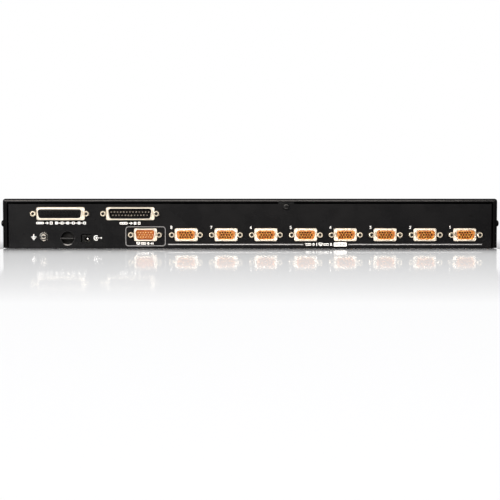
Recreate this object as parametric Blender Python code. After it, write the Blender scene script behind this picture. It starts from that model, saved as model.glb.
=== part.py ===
"""An eight-port rack KVM switch: a 1U steel box with its connector panel at -Y and its push buttons at +Y.

Metres, +Z up. The origin is at the centre of the bounding box's underside.
Every piece is one closed solid. Outlines are drawn in a plane and lofted along that plane's normal.
"""

import math

import bmesh
import bpy
from mathutils import Vector
from mathutils.geometry import tessellate_polygon

MM = 0.001

# ------------------------ driving dimensions
WIDTH = 438.4 * MM  # between the rack's ears
HEIGHT = 44.0 * MM  # one rack unit, less the clearance
DEPTH = 163.7 * MM  # rear edge of the cover to the face of the bezel
SHEET = 1.0 * MM
GAP = 0.3 * MM  # left between touching pieces
FINE_GAP = 0.15 * MM  # left inside the connectors

LOCK_PROUD = 5.5 * MM  # screwlocks stand out this far from the rear panel
PANEL_RECESS = 1.0 * MM
BUTTON_PROUD = 1.0 * MM
BUTTON_TRAVEL = 0.6 * MM

# ------------------------ planes across the depth, rear to front
REAR_OVERHANG = LOCK_PROUD - PANEL_RECESS
Y_REAR = -(DEPTH + REAR_OVERHANG + BUTTON_PROUD) / 2 + REAR_OVERHANG
Y_FACE = Y_REAR + DEPTH
Y_PANEL = Y_REAR + PANEL_RECESS
Y_PANEL_BACK = Y_PANEL + SHEET
BEZEL_DEPTH = 12.0 * MM
Y_BEZEL_BACK = Y_FACE - BEZEL_DEPTH
Y_WALL = Y_BEZEL_BACK - GAP
Y_WALL_BACK = Y_WALL - SHEET
BEZEL_WALL = 2.2 * MM
Y_BEZEL_INNER = Y_FACE - BEZEL_WALL
BOARD = 1.6 * MM
Y_FRONT_BOARD = Y_WALL_BACK - 1.7 * MM

# ------------------------ enclosure
HALF = WIDTH / 2
TRAY_HALF = HALF - SHEET - GAP
PANEL_HALF = 214.1 * MM
PANEL_TOP = 39.3 * MM
TRAY_NOTCH = 2.6 * MM
TRAY_WALL_TOP = 38.0 * MM
RETURN_FLANGE = 8.0 * MM
COVER_FOOT = 0.4 * MM
COVER_CORNER = 2.4 * MM
RIM_BEND = 2.2 * MM
RIM_TOP = 3.0 * MM
RIM_SIDE_RATIO = 4.0 / 3.0
BEZEL_SIDE = 2.0 * MM
BEZEL_EDGE = 1.2 * MM
SIDE_SCREW_Z = 22.0 * MM
SIDE_SCREW_INSETS = (7.2 * MM, 14.0 * MM)  # from the cover's rear and front edges
BACK_SCREW = (32.3 * MM, 37.0 * MM)
GROUND_SCREW = (-182.7 * MM, 10.4 * MM)
SCREW_SHANK_R = 1.4 * MM
SCREW_HOLE_R = 1.75 * MM
SCREW_LENGTH = 6.0 * MM
SIDE_SCREW_HEAD = 2.3 * MM

TIE_SLOT = (-161.8 * MM, 8.9 * MM)
TIE_SLOT_R = 6.3 * MM
TIE_STRAP = 1.8 * MM
TIE_CUP_DEPTH = 5.6 * MM
TIE_CUP_STRAIGHT = 2.5 * MM

# ------------------------ rear connectors
PORT_COUNT = 8
PORT_PITCH = 35.3 * MM
PORT_1_X = 190.5 * MM  # port 1 is nearest the +X end
PORT_Z = 12.0 * MM
CONSOLE_X = -92.8 * MM
CHAIN_IN_X = -168.1 * MM
CHAIN_OUT_X = -106.2 * MM
CHAIN_Z = 30.7 * MM

SMALL_SPACING = 24.99 * MM  # between the screwlocks of a 15-way shell
LARGE_SPACING = 47.04 * MM  # and of a 25-way shell
FLANGE_HEIGHT = 12.5 * MM
FLANGE_MARGIN = 2.9 * MM
FLANGE = 0.8 * MM
SHELL_SLOPE = math.tan(math.radians(10))
SHELL_WALL = 0.45 * MM
SOCKET_SHELL = (16.33 * MM, 7.90 * MM, 6.1 * MM)  # width at the top, height, reach
PLUG_SHELL = (17.82 * MM, 9.26 * MM, 5.9 * MM)
SHELL_EXTRA = 22.05 * MM  # a 25-way shell is this much wider
SMALL_CUTOUT = (20.4 * MM, 11.5 * MM)
LARGE_CUTOUT = (43.0 * MM, 11.6 * MM)
CUTOUT_R = 1.4 * MM
HEX_R = 2.75 * MM
LOCK_STUB_R = 1.35 * MM
LOCK_HOLE_R = 1.15 * MM
LOCK_HOLE_DEPTH = 4.2 * MM
PIN_DEPTH = 4.8 * MM
BLOCK_DEPTH = 8.0 * MM

CONTACT_ROWS = {  # contacts in each row, and the pitches along and across the rows in millimetres
    25: ((13, 12), 2.76, 2.84),
    18: ((6, 6, 6), 2.29, 1.98),
    15: ((5, 5, 5), 2.29, 1.98),
}

DC_CUTOUT = (-145.4 * MM, 8.9 * MM, 9.0 * MM, 6.9 * MM)
DC_BODY = (-144.9 * MM, 8.65 * MM, 7.8 * MM, 5.9 * MM)
DC_BARREL = (-144.2 * MM, 8.5 * MM)
DC_BARREL_R = 2.3 * MM
DC_PIN_R = 0.85 * MM

# ------------------------ boards
FLANGE_CLEARANCE = 0.35 * MM  # between a connector's flange and its board
MAIN_TOP = PORT_Z - FLANGE_HEIGHT / 2 - FLANGE_CLEARANCE
CHAIN_TOP = CHAIN_Z - FLANGE_HEIGHT / 2 - FLANGE_CLEARANCE
BOARD_REAR = Y_PANEL_BACK + GAP + FLANGE + 0.4 * MM
MAIN_HALF = 205.0 * MM
MAIN_FRONT = 52.0 * MM
CHAIN_BOARD_X = (-199.0 * MM, -75.0 * MM)
CHAIN_BOARD_FRONT = -38.0 * MM
SEAT_GAP = 0.2 * MM  # between a board and what stands on it or holds it
STANDOFF_R = 3.0 * MM

# ------------------------ front controls, +X is to the left when facing them
BUTTON_1_X = 44.0 * MM
BUTTON_PITCH = 27.0 * MM
CONTROL_Z = 16.5 * MM
LIGHT_Z = 29.0 * MM
LIGHT_SPREAD = 4.0 * MM
LIGHT_R = 1.1 * MM
BUTTON_CAP = (16.0 * MM, 7.0 * MM)
BUTTON_CORNER = 1.1 * MM
RESET_X = 84.0 * MM
RESET_R = 2.0 * MM
DISPLAY = (124.0 * MM, 22.5 * MM, 32.0 * MM, 19.0 * MM)
USB = (178.0 * MM, 18.5 * MM, 13.1 * MM, 5.7 * MM)
SWITCH_BODY = 6.0 * MM
SWITCH_HEIGHT = 3.6 * MM

# ------------------------ colours: red, green, blue, roughness, metallic
FINISHES = {
    "black_steel": (0.025, 0.025, 0.028, 0.45, 0.0),
    "black_plastic": (0.020, 0.020, 0.022, 0.50, 0.0),
    "smoked_window": (0.030, 0.005, 0.005, 0.08, 0.0),
    "nickel": (0.78, 0.75, 0.70, 0.25, 1.0),
    "orange_nylon": (0.85, 0.35, 0.06, 0.45, 0.0),
    "black_nylon": (0.018, 0.018, 0.018, 0.55, 0.0),
    "black_screw": (0.030, 0.030, 0.032, 0.35, 0.6),
    "zinc_screw": (0.72, 0.72, 0.70, 0.30, 1.0),
    "green_board": (0.02, 0.16, 0.06, 0.45, 0.0),
    "grey_button": (0.55, 0.56, 0.58, 0.45, 0.0),
    "clear_pipe": (0.85, 0.88, 0.90, 0.15, 0.0),
    "grey_cable": (0.42, 0.44, 0.47, 0.60, 0.0),
    "white_plastic": (0.80, 0.80, 0.78, 0.45, 0.0),
    "aluminium_can": (0.70, 0.71, 0.73, 0.30, 1.0),
}


# ------------------------ planes: each maps an outline's u, v and a depth w to a point
def facing_y(u, v, w):
    return (u, w, v)


def facing_z(u, v, w):
    return (u, v, w)


def facing_x(u, v, w):
    return (w, u, v)


# ------------------------ outlines
def rectangle(cu, cv, width, height):
    a, b = width / 2, height / 2
    return [(cu - a, cv - b), (cu + a, cv - b), (cu + a, cv + b), (cu - a, cv + b)]


def span(u0, v0, u1, v1):
    return [(u0, v0), (u1, v0), (u1, v1), (u0, v1)]


def circle(cu, cv, radius, sides=12):
    angles = [(i + 0.5) * 2 * math.pi / sides for i in range(sides)]
    return [(cu + radius * math.cos(a), cv + radius * math.sin(a)) for a in angles]


def rounded(corners, radius, steps=2):
    """The outline with each corner replaced by an arc."""
    points = []
    for i, corner in enumerate(corners):
        here = Vector(corner)
        back = (Vector(corners[i - 1]) - here).normalized()
        ahead = (Vector(corners[(i + 1) % len(corners)]) - here).normalized()
        half_angle = back.angle(ahead) / 2
        centre = here + (back + ahead).normalized() * radius / math.sin(half_angle)
        start = here + back * radius / math.tan(half_angle) - centre
        end = here + ahead * radius / math.tan(half_angle) - centre
        sweep = start.angle_signed(end)
        for step in range(steps + 1):
            turn = -sweep * step / steps
            cos, sin = math.cos(turn), math.sin(turn)
            spoke = Vector((start.x * cos - start.y * sin, start.x * sin + start.y * cos))
            points.append(tuple(centre + spoke))
    return points


def rounded_rectangle(cu, cv, width, height, radius, steps=2):
    return rounded(rectangle(cu, cv, width, height), radius, steps)


def d_shape(cu, cv, width, height, inset=0.0, radius=2.3 * MM, steps=1):
    """A D-subminiature outline, wide side up, drawn in by inset on every side."""
    half = height / 2 - inset
    slant = inset / math.cos(math.atan(SHELL_SLOPE))
    top = width / 2 - slant - SHELL_SLOPE * inset
    bottom = top - SHELL_SLOPE * 2 * half
    low, high = cv - half, cv + half
    corners = [(cu - bottom, low), (cu + bottom, low), (cu + top, high), (cu - top, high)]
    return rounded(corners, radius - inset, steps)


# ------------------------ solids
def paint(name):
    """The material of that name, made once."""
    if name not in bpy.data.materials:
        red, green, blue, roughness, metallic = FINISHES[name]
        material = bpy.data.materials.new(name)
        material.use_nodes = True
        shader = material.node_tree.nodes["Principled BSDF"]
        shader.inputs["Base Color"].default_value = (red, green, blue, 1.0)
        shader.inputs["Roughness"].default_value = roughness
        shader.inputs["Metallic"].default_value = metallic
        material.diffuse_color = (red, green, blue, 1.0)
    return bpy.data.materials[name]


def fill(mesh, loops):
    """Closes a flat area between an outer loop and the holes in it."""
    points = [[vertex.co for vertex in loop] for loop in loops]
    vertices = [vertex for loop in loops for vertex in loop]
    for corners in tessellate_polygon(points):
        mesh.faces.new([vertices[i] for i in corners])


def walls(mesh, rings):
    """Joins each ring to the next with four-sided faces."""
    for low, high in zip(rings, rings[1:]):
        for i in range(len(low)):
            j = (i + 1) % len(low)
            mesh.faces.new((low[i], low[j], high[j], high[i]))


def solid(name, finish, facing, outlines, features=()):
    """One closed solid. An outline is a list of rings, (points, depth), from the start face to the end face.

    The first outline is the outside and the others are holes right through.
    A feature is a list of rings that begins in the start or the end face and is closed at its last ring,
    so it makes a blind hole where it runs into the solid, and a stud where it runs out of it.
    """
    mesh = bmesh.new()
    start_depth = outlines[0][0][1]
    start_loops, end_loops = [], []
    for outline in outlines:
        rings = [[mesh.verts.new(facing(u, v, w)) for u, v in points] for points, w in outline]
        walls(mesh, rings)
        start_loops.append(rings[0])
        end_loops.append(rings[-1])
    for feature in features:
        rings = [[mesh.verts.new(facing(u, v, w)) for u, v in points] for points, w in feature]
        walls(mesh, rings)
        fill(mesh, [rings[-1]])
        starts_here = abs(feature[0][1] - start_depth) < 1e-9
        (start_loops if starts_here else end_loops).append(rings[0])
    fill(mesh, start_loops)
    fill(mesh, end_loops)
    bmesh.ops.recalc_face_normals(mesh, faces=mesh.faces[:])
    data = bpy.data.meshes.new(name)
    mesh.to_mesh(data)
    mesh.free()
    data.materials.append(paint(finish))
    piece = bpy.data.objects.new(name, data)
    bpy.context.scene.collection.objects.link(piece)
    return piece


def prism(name, finish, facing, points, low, high, holes=()):
    """A flat outline, with holes right through, given a thickness."""
    return solid(name, finish, facing, [[(loop, low), (loop, high)] for loop in [points, *holes]])


def boolean(piece, helpers, operation):
    """Adds to or cuts from the piece. The helpers stay in a collection of their own, out of the render."""
    group = bpy.data.collections.new(f"{piece.name}_{operation.lower()}")
    for helper in helpers:
        for owner in list(helper.users_collection):
            owner.objects.unlink(helper)
        group.objects.link(helper)
        helper.hide_render = True
        helper.display_type = "WIRE"
    bpy.context.scene.collection.children.link(group)
    modifier = piece.modifiers.new(operation.title(), "BOOLEAN")
    modifier.operation = operation
    modifier.solver = "EXACT"
    modifier.operand_type = "COLLECTION"
    modifier.collection = group
    return piece


def smooth(piece, degrees=35):
    """Shades the round faces smooth and keeps the edges."""
    piece.data.shade_smooth()
    piece.data.set_sharp_from_angle(angle=math.radians(degrees))
    return piece


def move_origin(piece, point):
    """Puts a moving piece's origin on its joint, and leaves its shape where it is."""
    offset = Vector(point)
    for vertex in piece.data.vertices:
        vertex.co -= offset
    piece.location = offset
    return piece


# ------------------------ places
def port_x(number):
    return PORT_1_X - PORT_PITCH * (number - 1)


def button_x(number):
    return BUTTON_1_X - BUTTON_PITCH * (number - 1)


def light_places():
    """Two lights over each button, and the power light over the reset button."""
    pairs = [button_x(n) + side * LIGHT_SPREAD for n in range(1, PORT_COUNT + 1) for side in (1, -1)]
    return [RESET_X, *pairs]


def rear_connectors():
    """Each connector's name, centre, screwlock spacing and whether it holds pins."""
    found = [
        ("chain_in", CHAIN_IN_X, CHAIN_Z, LARGE_SPACING, False),
        ("chain_out", CHAIN_OUT_X, CHAIN_Z, LARGE_SPACING, True),
        ("console", CONSOLE_X, PORT_Z, SMALL_SPACING, True),
    ]
    for number in range(1, PORT_COUNT + 1):
        found.append((f"kvm_port_{number}", port_x(number), PORT_Z, SMALL_SPACING, False))
    return found


# ------------------------ enclosure
def rear_panel_holes():
    """Cut-outs for the connectors, their screwlocks, the power socket, two screws and the cable-tie slot."""
    holes = []
    for _, x, z, spacing, _ in rear_connectors():
        width, height = LARGE_CUTOUT if spacing == LARGE_SPACING else SMALL_CUTOUT
        holes.append(rounded_rectangle(x, z, width, height, CUTOUT_R))
        holes += [circle(x + side * spacing / 2, z, SCREW_HOLE_R, 8) for side in (-1, 1)]
    holes.append(rectangle(*DC_CUTOUT))
    holes += [circle(*place, SCREW_HOLE_R, 8) for place in (BACK_SCREW, GROUND_SCREW)]
    holes += [tie_half(side, TIE_SLOT_R) for side in (-1, 1)]
    return holes


def tie_half(side, radius, steps=11):
    """Half of the round cable-tie slot, above or below its strap."""
    start = math.asin(TIE_STRAP / 2 / radius)
    x, z = TIE_SLOT
    angles = [start + (math.pi - 2 * start) * i / steps for i in range(steps + 1)]
    return [(x + radius * math.cos(a), z + side * radius * math.sin(a)) for a in angles]


def make_tie_cup():
    """The cup behind the strap: a cable tie passes under the strap and stays out of the electronics."""
    x, z = TIE_SLOT
    wall = 0.9 * MM
    floor = Y_PANEL + SHEET + TIE_CUP_DEPTH
    start = Y_PANEL + SHEET / 2
    sides = 24
    mouth = circle(x, z, TIE_SLOT_R + FINE_GAP / 3, sides)
    outer = [(circle(x, z, TIE_SLOT_R + wall, sides), start), (circle(x, z, TIE_SLOT_R, sides), floor)]
    bottom = circle(x, z, TIE_SLOT_R - wall, sides)
    inner = [(mouth, start), (mouth, Y_PANEL_BACK + TIE_CUP_STRAIGHT), (bottom, floor - wall)]
    return solid("tie_cup", "black_steel", facing_y, [outer], [inner])


def make_base_chassis():
    """One folded sheet: floor, rear panel, side flanges and a front wall with a window for the controls."""
    floor_outline = [
        (-PANEL_HALF, Y_PANEL), (PANEL_HALF, Y_PANEL), (PANEL_HALF, Y_PANEL + TRAY_NOTCH),
        (TRAY_HALF, Y_PANEL + TRAY_NOTCH), (TRAY_HALF, Y_WALL), (-TRAY_HALF, Y_WALL),
        (-TRAY_HALF, Y_PANEL + TRAY_NOTCH), (-PANEL_HALF, Y_PANEL + TRAY_NOTCH),
    ]  # fmt: skip
    chassis = prism("base_chassis", "black_steel", facing_z, floor_outline, 0.0, SHEET)
    rear = prism(
        "rear_panel_wall", "black_steel", facing_y,
        span(-PANEL_HALF, 0.0, PANEL_HALF, PANEL_TOP), Y_PANEL, Y_PANEL_BACK, rear_panel_holes(),
    )  # fmt: skip
    window_low, window_high, window_margin = 8 * MM, 34 * MM, 12 * MM
    window = span(button_x(PORT_COUNT) - window_margin, window_low, USB[0] + window_margin, window_high)
    front = prism(
        "front_wall", "black_steel", facing_y,
        span(-TRAY_HALF, 0.0, TRAY_HALF, TRAY_WALL_TOP), Y_WALL_BACK, Y_WALL, [window],
    )  # fmt: skip
    notch = 9 * MM  # leaves room for the cover's tab on each side of the back screw
    flange_front = Y_PANEL + RETURN_FLANGE
    runs = [(-PANEL_HALF, BACK_SCREW[0] - notch), (BACK_SCREW[0] + notch, PANEL_HALF)]
    returns = []
    for i, (low, high) in enumerate(runs):
        outline = span(low, Y_PANEL, high, flange_front)
        piece = prism(f"rear_return_{i}", "black_steel", facing_z, outline, PANEL_TOP - SHEET, PANEL_TOP)
        returns.append(piece)
    sides = []
    for side in (-1, 1):
        holes = [circle(y, SIDE_SCREW_Z, SCREW_HOLE_R, 8) for y in side_screw_depths()]
        inner, outer = sorted((side * (TRAY_HALF - SHEET), side * TRAY_HALF))
        outline = span(Y_PANEL + TRAY_NOTCH, 0.0, Y_WALL, TRAY_WALL_TOP)
        sides.append(prism(f"side_flange_{side}", "black_steel", facing_x, outline, inner, outer, holes))
    post_top = MAIN_TOP - BOARD - SEAT_GAP
    posts = [
        prism(f"standoff_{i}", "black_steel", facing_z, circle(x, y, STANDOFF_R, 8), SHEET / 2, post_top)
        for i, (x, y) in enumerate(standoff_places())
    ]
    return boolean(chassis, [rear, front, *returns, *sides, *posts, make_tie_cup()], "UNION")


def standoff_places():
    return [(x * MAIN_HALF * 0.94, y) for x in (-1, 0, 1) for y in (-50 * MM, 44 * MM)]


def side_screw_depths():
    return (Y_REAR + SIDE_SCREW_INSETS[0], Y_WALL - SIDE_SCREW_INSETS[1])


def cover_path(top_inset, side_inset, foot):
    """The cover's section from its left foot over the top to its right foot, drawn in by the insets."""
    half, top = HALF - side_inset, HEIGHT - top_inset
    corner = max(COVER_CORNER - top_inset, 0.25 * MM)
    steps = 4
    points = [(-half, foot)]
    for side in (-1, 1):
        for step in range(steps + 1):
            angle = math.pi / 2 * (step if side < 0 else steps - step) / steps
            across = half - corner + corner * math.cos(angle)
            points.append((side * across, top - corner + corner * math.sin(angle)))
    points.append((half, foot))
    return points


def cover_stations():
    """Each section's depth, top inset and side inset: out along the cover, round its rim and back inside."""
    bend = 4
    arc = [math.pi / 2 * i / bend for i in range(bend + 1)]
    side_bend = RIM_BEND * RIM_SIDE_RATIO
    stations = [(Y_WALL, 0.0, 0.0)]
    for a in arc:
        across = 1 - math.cos(a)
        stations.append((Y_REAR + RIM_BEND * (1 - math.sin(a)), RIM_BEND * across, side_bend * across))
    stations.append((Y_REAR, RIM_TOP, RIM_TOP * RIM_SIDE_RATIO))
    stations.append((Y_REAR + SHEET, RIM_TOP, RIM_TOP * RIM_SIDE_RATIO))
    for a in reversed(arc):
        depth = Y_REAR + RIM_BEND - (RIM_BEND - SHEET) * math.sin(a)
        top_inset = RIM_BEND - (RIM_BEND - SHEET) * math.cos(a)
        stations.append((depth, top_inset, side_bend - (side_bend - SHEET) * math.cos(a)))
    stations.append((Y_WALL, SHEET, SHEET))
    return stations


def make_top_cover():
    """A folded inverted U whose rear edge curls in to frame the rear panel."""
    mesh = bmesh.new()
    rings = []
    for y, top_inset, side_inset in cover_stations():
        path = cover_path(top_inset, side_inset, COVER_FOOT)
        rings.append([mesh.verts.new((u, y, v)) for u, v in path])
    count = len(rings[0])
    for low, high in zip(rings, rings[1:] + rings[:1]):
        for i in range(count - 1):
            mesh.faces.new((low[i], low[i + 1], high[i + 1], high[i]))
    for end in (0, count - 1):
        fill(mesh, [[ring[end] for ring in rings]])
    bmesh.ops.recalc_face_normals(mesh, faces=mesh.faces[:])
    data = bpy.data.meshes.new("top_cover")
    mesh.to_mesh(data)
    mesh.free()
    data.materials.append(paint("black_steel"))
    cover = bpy.data.objects.new("top_cover", data)
    bpy.context.scene.collection.objects.link(cover)

    x, z = BACK_SCREW
    tab_width, tab_low, tab_high = 14 * MM, z - 3.5 * MM, HEIGHT - 0.5 * MM
    outline = rectangle(x, (tab_low + tab_high) / 2, tab_width, tab_high - tab_low)
    tab_back = Y_PANEL_BACK + GAP
    hole = circle(x, z, SCREW_HOLE_R, 8)
    tab = prism("cover_tab", "black_steel", facing_y, outline, tab_back, tab_back + SHEET, [hole])
    past = 3 * MM
    drills = []
    for side in (-1, 1):
        low, high = sorted((side * (HALF - past), side * (HALF + past)))
        for i, y in enumerate(side_screw_depths()):
            hole = circle(y, SIDE_SCREW_Z, SCREW_HOLE_R, 8)
            drills.append(prism(f"cover_drill_{side}_{i}", "black_steel", facing_x, hole, low, high))
    boolean(cover, [tab], "UNION")
    return smooth(boolean(cover, drills, "DIFFERENCE"))


def make_front_bezel():
    """A moulded frame, hollow behind, with openings for the controls, display and peripheral socket."""

    def frame(inset):
        width, height = WIDTH - 2 * inset, HEIGHT - COVER_FOOT - 2 * inset
        return rounded_rectangle(0, (HEIGHT + COVER_FOOT) / 2, width, height, COVER_CORNER - inset / 2, 3)

    cavity = frame(BEZEL_SIDE)
    width, height = (size + 2 * GAP for size in BUTTON_CAP)
    numbers = range(1, PORT_COUNT + 1)
    openings = [rounded_rectangle(button_x(n), CONTROL_Z, width, height, BUTTON_CORNER, 1) for n in numbers]
    openings += [circle(x, LIGHT_Z, LIGHT_R + FINE_GAP, 6) for x in light_places()]
    openings.append(circle(RESET_X, CONTROL_Z, RESET_R + GAP, 12))
    x, z, width, height = DISPLAY
    openings.append(rounded_rectangle(x, z, width, height, 1.5 * MM))
    x, z, width, height = USB
    openings.append(rounded_rectangle(x, z, width + 0.8 * MM, height + 0.8 * MM, 0.6 * MM, 1))
    ease = BEZEL_EDGE * 0.3
    shell = [
        (cavity, Y_BEZEL_INNER), (cavity, Y_BEZEL_BACK), (frame(0), Y_BEZEL_BACK),
        (frame(0), Y_FACE - BEZEL_EDGE), (frame(ease), Y_FACE - ease), (frame(BEZEL_EDGE), Y_FACE),
    ]  # fmt: skip
    through = [[(loop, Y_BEZEL_INNER), (loop, Y_FACE)] for loop in openings]
    return smooth(solid("front_bezel", "black_plastic", facing_y, [shell, *through]))


def make_display_window():
    x, z, width, height = DISPLAY
    face = rounded_rectangle(x, z, width - 2 * GAP, height - 2 * GAP, 1.3 * MM)
    lip = rounded_rectangle(x, z, width + 3 * MM, height + 3 * MM, 1.3 * MM)
    lip_front = Y_BEZEL_INNER - GAP
    rings = [(lip, lip_front - 1.2 * MM), (lip, lip_front), (face, lip_front), (face, Y_FACE - 0.2 * MM)]
    return solid("display_window", "smoked_window", facing_y, [rings])


# ------------------------ fasteners
def make_screw(name, finish, facing, place, head_plane, outward, head_r=2.9 * MM, head=1.9 * MM):
    """A pan-head screw with a cross recess cut as a square well. Outward is the way its head faces."""
    u, v = place
    sides = 12
    back = head_plane - outward * SCREW_LENGTH
    well = (circle(u, v, 1.2 * MM, 4), head_plane + outward * head)
    well_floor = (circle(u, v, 0.7 * MM, 4), head_plane + outward * head * 0.35)
    rings = [
        (circle(u, v, SCREW_SHANK_R, sides), back),
        (circle(u, v, SCREW_SHANK_R, sides), head_plane),
        (circle(u, v, head_r, sides), head_plane),
        (circle(u, v, head_r, sides), head_plane + outward * head * 0.4),
        (circle(u, v, head_r * 0.62, sides), head_plane + outward * head),
    ]
    return smooth(solid(name, finish, facing, [rings], [[well, well_floor]]))


def make_screws():
    """Two screws a side and one at the back hold the cover; the last is the earth terminal, with a washer."""
    for side, side_name in ((-1, "left"), (1, "right")):
        for depth, depth_name in zip(side_screw_depths(), ("rear", "front")):
            name = f"cover_screw_{side_name}_{depth_name}"
            place, plane = (depth, SIDE_SCREW_Z), side * (HALF + FINE_GAP)
            make_screw(name, "black_screw", facing_x, place, plane, side, head=SIDE_SCREW_HEAD)
    make_screw("cover_screw_back", "black_screw", facing_y, BACK_SCREW, Y_PANEL - FINE_GAP, -1, 3.1 * MM)
    washer = 0.7 * MM
    washer_plane = Y_PANEL - FINE_GAP - washer
    head_plane = washer_plane - FINE_GAP
    make_screw("ground_screw", "zinc_screw", facing_y, GROUND_SCREW, head_plane, -1, 3.0 * MM, 2.2 * MM)
    teeth = 12
    x, z = GROUND_SCREW
    star = []
    for i in range(2 * teeth):
        radius = (3.9 if i % 2 else 3.3) * MM
        angle = math.pi * i / teeth
        star.append((x + radius * math.cos(angle), z + radius * math.sin(angle)))
    hole = circle(x, z, SCREW_HOLE_R, 8)
    prism("ground_washer", "zinc_screw", facing_y, star, washer_plane, washer_plane + washer, [hole])


# ------------------------ rear connectors
def shell_size(spacing, holds_pins):
    width, height, reach = PLUG_SHELL if holds_pins else SOCKET_SHELL
    return (width + SHELL_EXTRA if spacing == LARGE_SPACING else width), height, reach


def lip_width(spacing):
    """How far a socket shell's lip reaches in over its insert."""
    return SHELL_WALL * (2.0 if spacing == LARGE_SPACING else 1.2)


def make_shell(name, x, z, spacing, holds_pins):
    """A drawn metal shell on its flange, with the two hexagonal screwlocks that fix it to the rear panel."""
    width, height, reach = shell_size(spacing, holds_pins)
    flange_front = Y_PANEL_BACK + GAP
    flange_back = flange_front + FLANGE
    lip = flange_front - reach
    roll = SHELL_WALL if holds_pins else lip_width(spacing)
    outside = d_shape(x, z, width, height)
    inside = d_shape(x, z, width, height, SHELL_WALL)
    flange = rounded_rectangle(x, z, spacing + 2 * FLANGE_MARGIN, FLANGE_HEIGHT, 1.5 * MM, 1)
    tube = [
        (outside, flange_front),
        (outside, lip + SHELL_WALL),
        (d_shape(x, z, width, height, SHELL_WALL / 2), lip),
        (d_shape(x, z, width, height, roll), lip),
        (inside, lip + SHELL_WALL * 1.2),
        (inside, flange_back),
    ]
    sides = 6
    hex_back = Y_PANEL - FINE_GAP
    hex_front = Y_PANEL - LOCK_PROUD
    locks = []
    for side in (-1, 1):
        centre = (x + side * spacing / 2, z)
        stub, nut, hole = (circle(*centre, radius, sides) for radius in (LOCK_STUB_R, HEX_R, LOCK_HOLE_R))
        locks.append([
            (stub, flange_front), (stub, hex_back), (nut, hex_back), (nut, hex_front),
            (hole, hex_front), (hole, hex_front + LOCK_HOLE_DEPTH),
        ])  # fmt: skip
    plate = [(flange, flange_front), (flange, flange_back)]
    return smooth(solid(f"{name}_shell", "nickel", facing_y, [plate, tube], locks))


def contact_places(x, z, ways):
    """Contact centres, in two rows for 25 ways and in three for 15 or 18."""
    rows, pitch, row_pitch = CONTACT_ROWS[ways]
    places = []
    for row, count in enumerate(rows):
        height = z + (0.5 * (len(rows) - 1) - row) * row_pitch * MM
        shift = 0.0 if ways == 25 else (0.25 if row % 2 else -0.25)
        for i in range(count):
            places.append((x + ((count - 1) / 2 - i + shift) * pitch * MM, height))
    return places


def make_insulator(name, x, z, spacing, holds_pins):
    """The moulded insert: a block behind the flange and a D-shaped face in the shell, holed or with pins."""
    width, height, reach = shell_size(spacing, holds_pins)
    large = spacing == LARGE_SPACING
    ways = 25 if large else (18 if holds_pins else 15)
    flange_front = Y_PANEL_BACK + GAP
    block_face = flange_front + FLANGE + FINE_GAP
    face = block_face - 1.2 * MM if holds_pins else flange_front - reach + 0.1 * MM
    body = d_shape(x, z, width, height, SHELL_WALL + FINE_GAP)
    nose = d_shape(x, z, width, height, (SHELL_WALL if holds_pins else lip_width(spacing)) + FINE_GAP)
    shoulder = face if holds_pins else face + 1.2 * MM
    block = rounded_rectangle(x, z, width + 1.5 * MM, FLANGE_HEIGHT - 0.4 * MM, 0.5 * MM, 1)
    outside = [(block, block_face + BLOCK_DEPTH), (block, block_face), (body, block_face)]
    outside += [] if holds_pins else [(body, shoulder), (nose, shoulder)]
    outside.append((nose, face))
    features = []
    for place in contact_places(x, z, ways):
        if holds_pins:
            radius, tip = (0.5 * MM if large else 0.38 * MM), face - PIN_DEPTH
            pin, point = circle(*place, radius, 5), circle(*place, radius * 0.4, 5)
            features.append([(pin, face), (pin, tip + radius), (point, tip)])
        else:
            well = circle(*place, 0.62 * MM if large else 0.55 * MM, 4)
            features.append([(well, face), (well, face + PIN_DEPTH)])
    finish = "black_nylon" if large else "orange_nylon"
    piece_name = f"{name}_pin_block" if holds_pins else f"{name}_insulator"
    return smooth(solid(piece_name, finish, facing_y, [outside], features))


def make_rear_connectors():
    for name, x, z, spacing, holds_pins in rear_connectors():
        make_shell(name, x, z, spacing, holds_pins)
        make_insulator(name, x, z, spacing, holds_pins)


def make_power_socket():
    x, z, width, height = DC_BODY
    back = Y_PANEL_BACK + 10 * MM
    front = Y_PANEL + 0.1 * MM
    barrel = circle(*DC_BARREL, DC_BARREL_R, 14)
    prism("dc_jack_body", "black_nylon", facing_y, rectangle(x, z, width, height), front, back, [barrel])
    disc, rod, tip = (circle(*DC_BARREL, r, 10) for r in (DC_BARREL_R - FINE_GAP, DC_PIN_R, DC_PIN_R / 2))
    disc_back, disc_front = back - 0.6 * MM, back - 1.8 * MM
    rod_front = Y_PANEL + 1.8 * MM
    tip_front = rod_front - 0.5 * MM
    rings = [(disc, disc_back), (disc, disc_front), (rod, disc_front), (rod, rod_front), (tip, tip_front)]
    smooth(solid("dc_jack_pin", "nickel", facing_y, [rings]))


# ------------------------ boards and what is on them
def on_main_board(name, finish, x, y, width, depth, height):
    seat = MAIN_TOP + SEAT_GAP
    return prism(name, finish, facing_z, rectangle(x, y, width, depth), seat, seat + height)


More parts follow.
